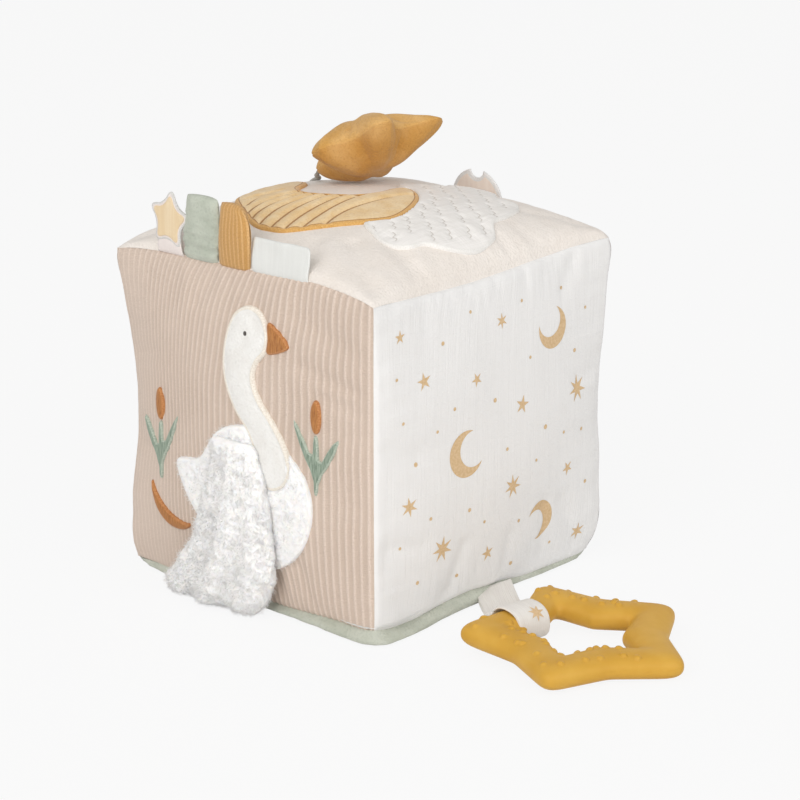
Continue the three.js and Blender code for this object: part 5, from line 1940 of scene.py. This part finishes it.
def plush_shape(share, angle):
    """How far out the star's points lie, and how high over its seam, at shares of the way to its edge."""
    wave = 0.5 + 0.5 * np.cos(5 * angle)
    reach = PLUSH_NOTCH + (PLUSH_RADIUS - PLUSH_NOTCH) * wave**PLUSH_TAPER_SHARE
    reach = np.minimum(reach, PLUSH_RADIUS * PLUSH_BLUNT_SHARE / np.cos(from_point(angle)))
    off_right = (angle + math.pi) % (2 * math.pi) - math.pi
    reach = reach * (1 + PLUSH_RIGHT_ARM_SHARE * bell(off_right, PLUSH_RIGHT_ARM_WIDTH))
    pillow = np.sqrt(np.clip(1 - share**2, 0, 1))
    arm = np.clip(1 - share**1.5, 0, 1) ** 0.75 + 0.12 * np.sqrt(np.clip(1 - share**8, 0, 1))
    height = PLUSH_FULL / 2 * (wave * np.minimum(arm, 1) + (1 - wave) * pillow)
    thinned = PLUSH_RIGHT_ARM_THIN_SHARE * bell(off_right, PLUSH_RIGHT_ARM_THIN_WIDTH) * share
    height = height * (1 - thinned)
    part = np.abs(angle % (2 * math.pi / 5) - math.pi / 5)
    valley = bell(part * reach * share, PLUSH_VALLEY_WIDTH) * share**3
    return reach, height - PLUSH_VALLEY * valley * pillow**0.5


def plush_star():
    """Two panels that meet in a seam, with folds and with puckers along it."""
    spokes, rings = 160, 24
    share = np.sin(math.pi / 2 * np.linspace(0, 1, rings))[1:]
    share, angle = (grid.ravel() for grid in np.meshgrid(share, full_turn(spokes), indexing="ij"))
    reach, height = plush_shape(share, angle)
    drawn = np.where(share > 0.9999, PLUSH_DRAWN_SHARE, 1.0)
    flat = np.column_stack([reach * share * np.cos(angle), reach * share * np.sin(angle)]) * drawn[:, None]
    sides = []
    for sign in (1, -1):
        place = np.column_stack([flat / PLUSH_FOLD_LENGTH, np.full(len(flat), sign * 4.0)])
        folds = layered_noise(place, 83, 2)
        round_seam = np.column_stack([angle * 9.0, share * 0 + sign * 7.0])
        pucker = value_noise(round_seam, 85) * share**8 * (1 - share) * 30
        lift = height * (1 + PLUSH_FOLD_SHARE * folds) + PLUSH_PUCKER * pucker * np.clip(height, 0, 1)
        level = sign * np.maximum(lift, 0) + PLUSH_SEAM_RISE * share**3
        sides.append(np.vstack([[0, 0, sign * PLUSH_FULL / 2], np.column_stack([flat, level])]))
    count = len(sides[0])
    ring_grid = (grid_faces(rings - 1, spokes, False, True) + 1).tolist()
    caps = [[0, 1 + k, 1 + (k + 1) % spokes] for k in range(spokes)]
    upper = caps + [face[::-1] for face in ring_grid]
    rim = count - spokes
    lower = [[k if k >= rim else k + count for k in face[::-1]] for face in upper]
    points = np.vstack([sides[0], sides[1][:rim]])
    # Painted shade: the lower panel's share of darkening, full near the middle and less towards the tips.
    lower_side = np.concatenate([np.zeros(len(sides[0])), np.ones(rim)])
    painted_under_shade = lower_side * np.clip(1.2 - np.hypot(*points[:, :2].T) / PLUSH_SHADE_REACH, 0, 1)
    return piece("plush_star_pile", moved_by(plush_matrix(), points), upper + lower, plush, "plush_star",
                 "plush_star", {"painted_under_shade": painted_under_shade})


# The star's filling: an enlarged copy, its voxels in millimetres of the star, and its simulated cloth
SIMULATION_SCALE = 10.0
SIMULATION_FRAMES = 20
SIMULATION_VOXEL = 1.7
SIMULATION_NEAR = 6
STAR_PRESSURE = 4.0
STAR_MOVE_CAP = 1.6


def applied(obj, modifier):
    """Replace a piece's mesh by the one that its modifier makes."""
    graph = bpy.context.evaluated_depsgraph_get()
    old = obj.data
    made = obj.evaluated_get(graph)
    mesh = bpy.data.meshes.new_from_object(made, preserve_all_data_layers=True, depsgraph=graph)
    obj.modifiers.remove(modifier)
    obj.data = mesh
    bpy.data.meshes.remove(old)


def simulated_shift(points, mesh, pressure):
    """Fill an enlarged, remeshed copy with pressed cloth, and read off how each point moved."""
    scene = bpy.context.scene
    double = bpy.data.objects.new("simulated", mesh)
    scene.collection.objects.link(double)
    remesh = double.modifiers.new("remesh", "REMESH")
    remesh.mode = "VOXEL"
    remesh.voxel_size = SIMULATION_VOXEL * MM * SIMULATION_SCALE
    applied(double, remesh)
    start = coordinates(double.data)
    cloth = double.modifiers.new("cloth", "CLOTH")
    cloth.settings.use_pressure = True
    cloth.settings.uniform_pressure_force = pressure
    cloth.settings.effector_weights.gravity = 0.0
    cloth.point_cache.frame_start = 1
    cloth.point_cache.frame_end = SIMULATION_FRAMES
    for step in range(1, SIMULATION_FRAMES + 1):
        scene.frame_set(step)
    applied(double, cloth)
    shift = coordinates(double.data) - start
    tree = KDTree(len(start))
    for index, place in enumerate(start):
        tree.insert(place, index)
    tree.balance()
    moved = np.zeros_like(points)
    for index, place in enumerate(points):
        found = tree.find_n(place, SIMULATION_NEAR)
        weight = np.array([1 / (distance + MM) ** 2 for _, _, distance in found])
        moved[index] = weight @ shift[[near for _, near, _ in found]] / weight.sum()
    last = double.data
    bpy.data.objects.remove(double)
    bpy.data.meshes.remove(last)
    scene.frame_set(1)
    return moved


def filled_out(obj, pressure, cap):
    """Let cloth simulation fill a padded piece, with no point moved further than the cap in millimetres."""
    before = coordinates(obj.data)
    middle = before.mean(0)
    larger = (before - middle) * SIMULATION_SCALE
    mesh = obj.data.copy()
    mesh.vertices.foreach_set("co", larger.ravel())
    mesh.update()
    moved = simulated_shift(larger, mesh, pressure) / SIMULATION_SCALE
    reach = np.linalg.norm(moved, axis=1) / MM
    moved *= (np.minimum(reach, cap) / np.maximum(reach, MM))[:, None]
    obj.data.vertices.foreach_set("co", (before + moved).ravel())
    obj.data.update()


def subdivided(obj):
    modifier = obj.modifiers.new("subdivision", "SUBSURF")
    modifier.levels = 1
    applied(obj, modifier)


star = plush_star()
filled_out(star, STAR_PRESSURE, STAR_MOVE_CAP)
subdivided(star)

TETHER_DIAMETER = 2.0
TETHER_LOBES = 3
TETHER_LOBE_SHARE = 0.07
TETHER_TWIST = 40
TETHER_ROUTE = np.array([
    (-76.6, 44.0, 152.4), (-76.3, 43.8, 153.8), (-75.5, 43.4, 155.3), (-74.1, 42.7, 156.7),
    (-72.4, 41.7, 158.0), (-70.3, 40.4, 159.3), (-67.7, 38.8, 160.6), (-64.6, 36.9, 161.9),
    (-61.5, 34.8, 163.1), (-58.4, 32.5, 164.2), (-55.4, 29.9, 165.2), (-52.6, 26.9, 166.4),
    (-50.2, 23.6, 167.8), (-47.8, 20.2, 169.3), (-44.2, 16.9, 170.8), (-41.6, 15.7, 173.4),
    (-39.6, 15.1, 176.6), (-38.2, 15.1, 179.2),
])


def tether():
    """The plush star's twisted cord."""
    path = smooth_curve(TETHER_ROUTE, 120, closed=False)
    turn = full_turn(18)
    lobes = TETHER_DIAMETER / 2 * (1 - TETHER_LOBE_SHARE + TETHER_LOBE_SHARE * np.cos(TETHER_LOBES * turn))
    section = circle(turn) * lobes[:, None]
    along = units(np.gradient(path, axis=0))
    side = units(np.cross(along, [0, 0, 1.0]))
    up = np.cross(side, along)
    twist = np.linspace(0, TETHER_TWIST, len(path))
    across = side * np.cos(twist)[:, None] + up * np.sin(twist)[:, None]
    points, faces = sweep(path, across, section)
    run = np.repeat(np.arange(len(path)) * 0.4, len(turn))
    cloth = np.column_stack([np.tile(turn * 0.6, len(path)), run, np.zeros(len(points))]) * MM
    cord = piece("tether_cord", points, faces, cord_paint, "plush_star", "star_tether",
                 {"cloth": cloth})


tether()

# The stuffing

filling = Paint("filling", 1.0)
filling.colour(filling.mix(filling.noise(200.0), "#e9e9e6", "#f4f4f1"))
WAD_STEPS = 48
WAD_LUMP = 1.2
WAD_LUMP_LENGTH = 12.0


def wad():
    """The filling: the skin's own shape drawn in, and lumpy."""
    share = np.linspace(-1, 1, WAD_STEPS + 1)
    u, v = (grid.ravel() for grid in np.meshgrid(share, share))
    cubes, points, faces = [], [], []
    for k, face in enumerate(FACE_AXES):
        smooth, cube = smooth_skin(face, u, v)
        lumps = WAD_INSET + WAD_LUMP * value_noise(smooth / WAD_LUMP_LENGTH, 71)
        cubes.append(np.round(cube, 6))
        points.append(smooth - outwards(cube) * lumps[:, None])
        faces.append(grid_faces(WAD_STEPS + 1, WAD_STEPS + 1) + k * len(u))
    _, first, same = np.unique(np.vstack(cubes), axis=0, return_index=True, return_inverse=True)
    points, faces = np.vstack(points)[first], same.ravel()[np.vstack(faces)]
    return piece("filling_wad", points, faces, filling, "block", "stuffing")


wad()
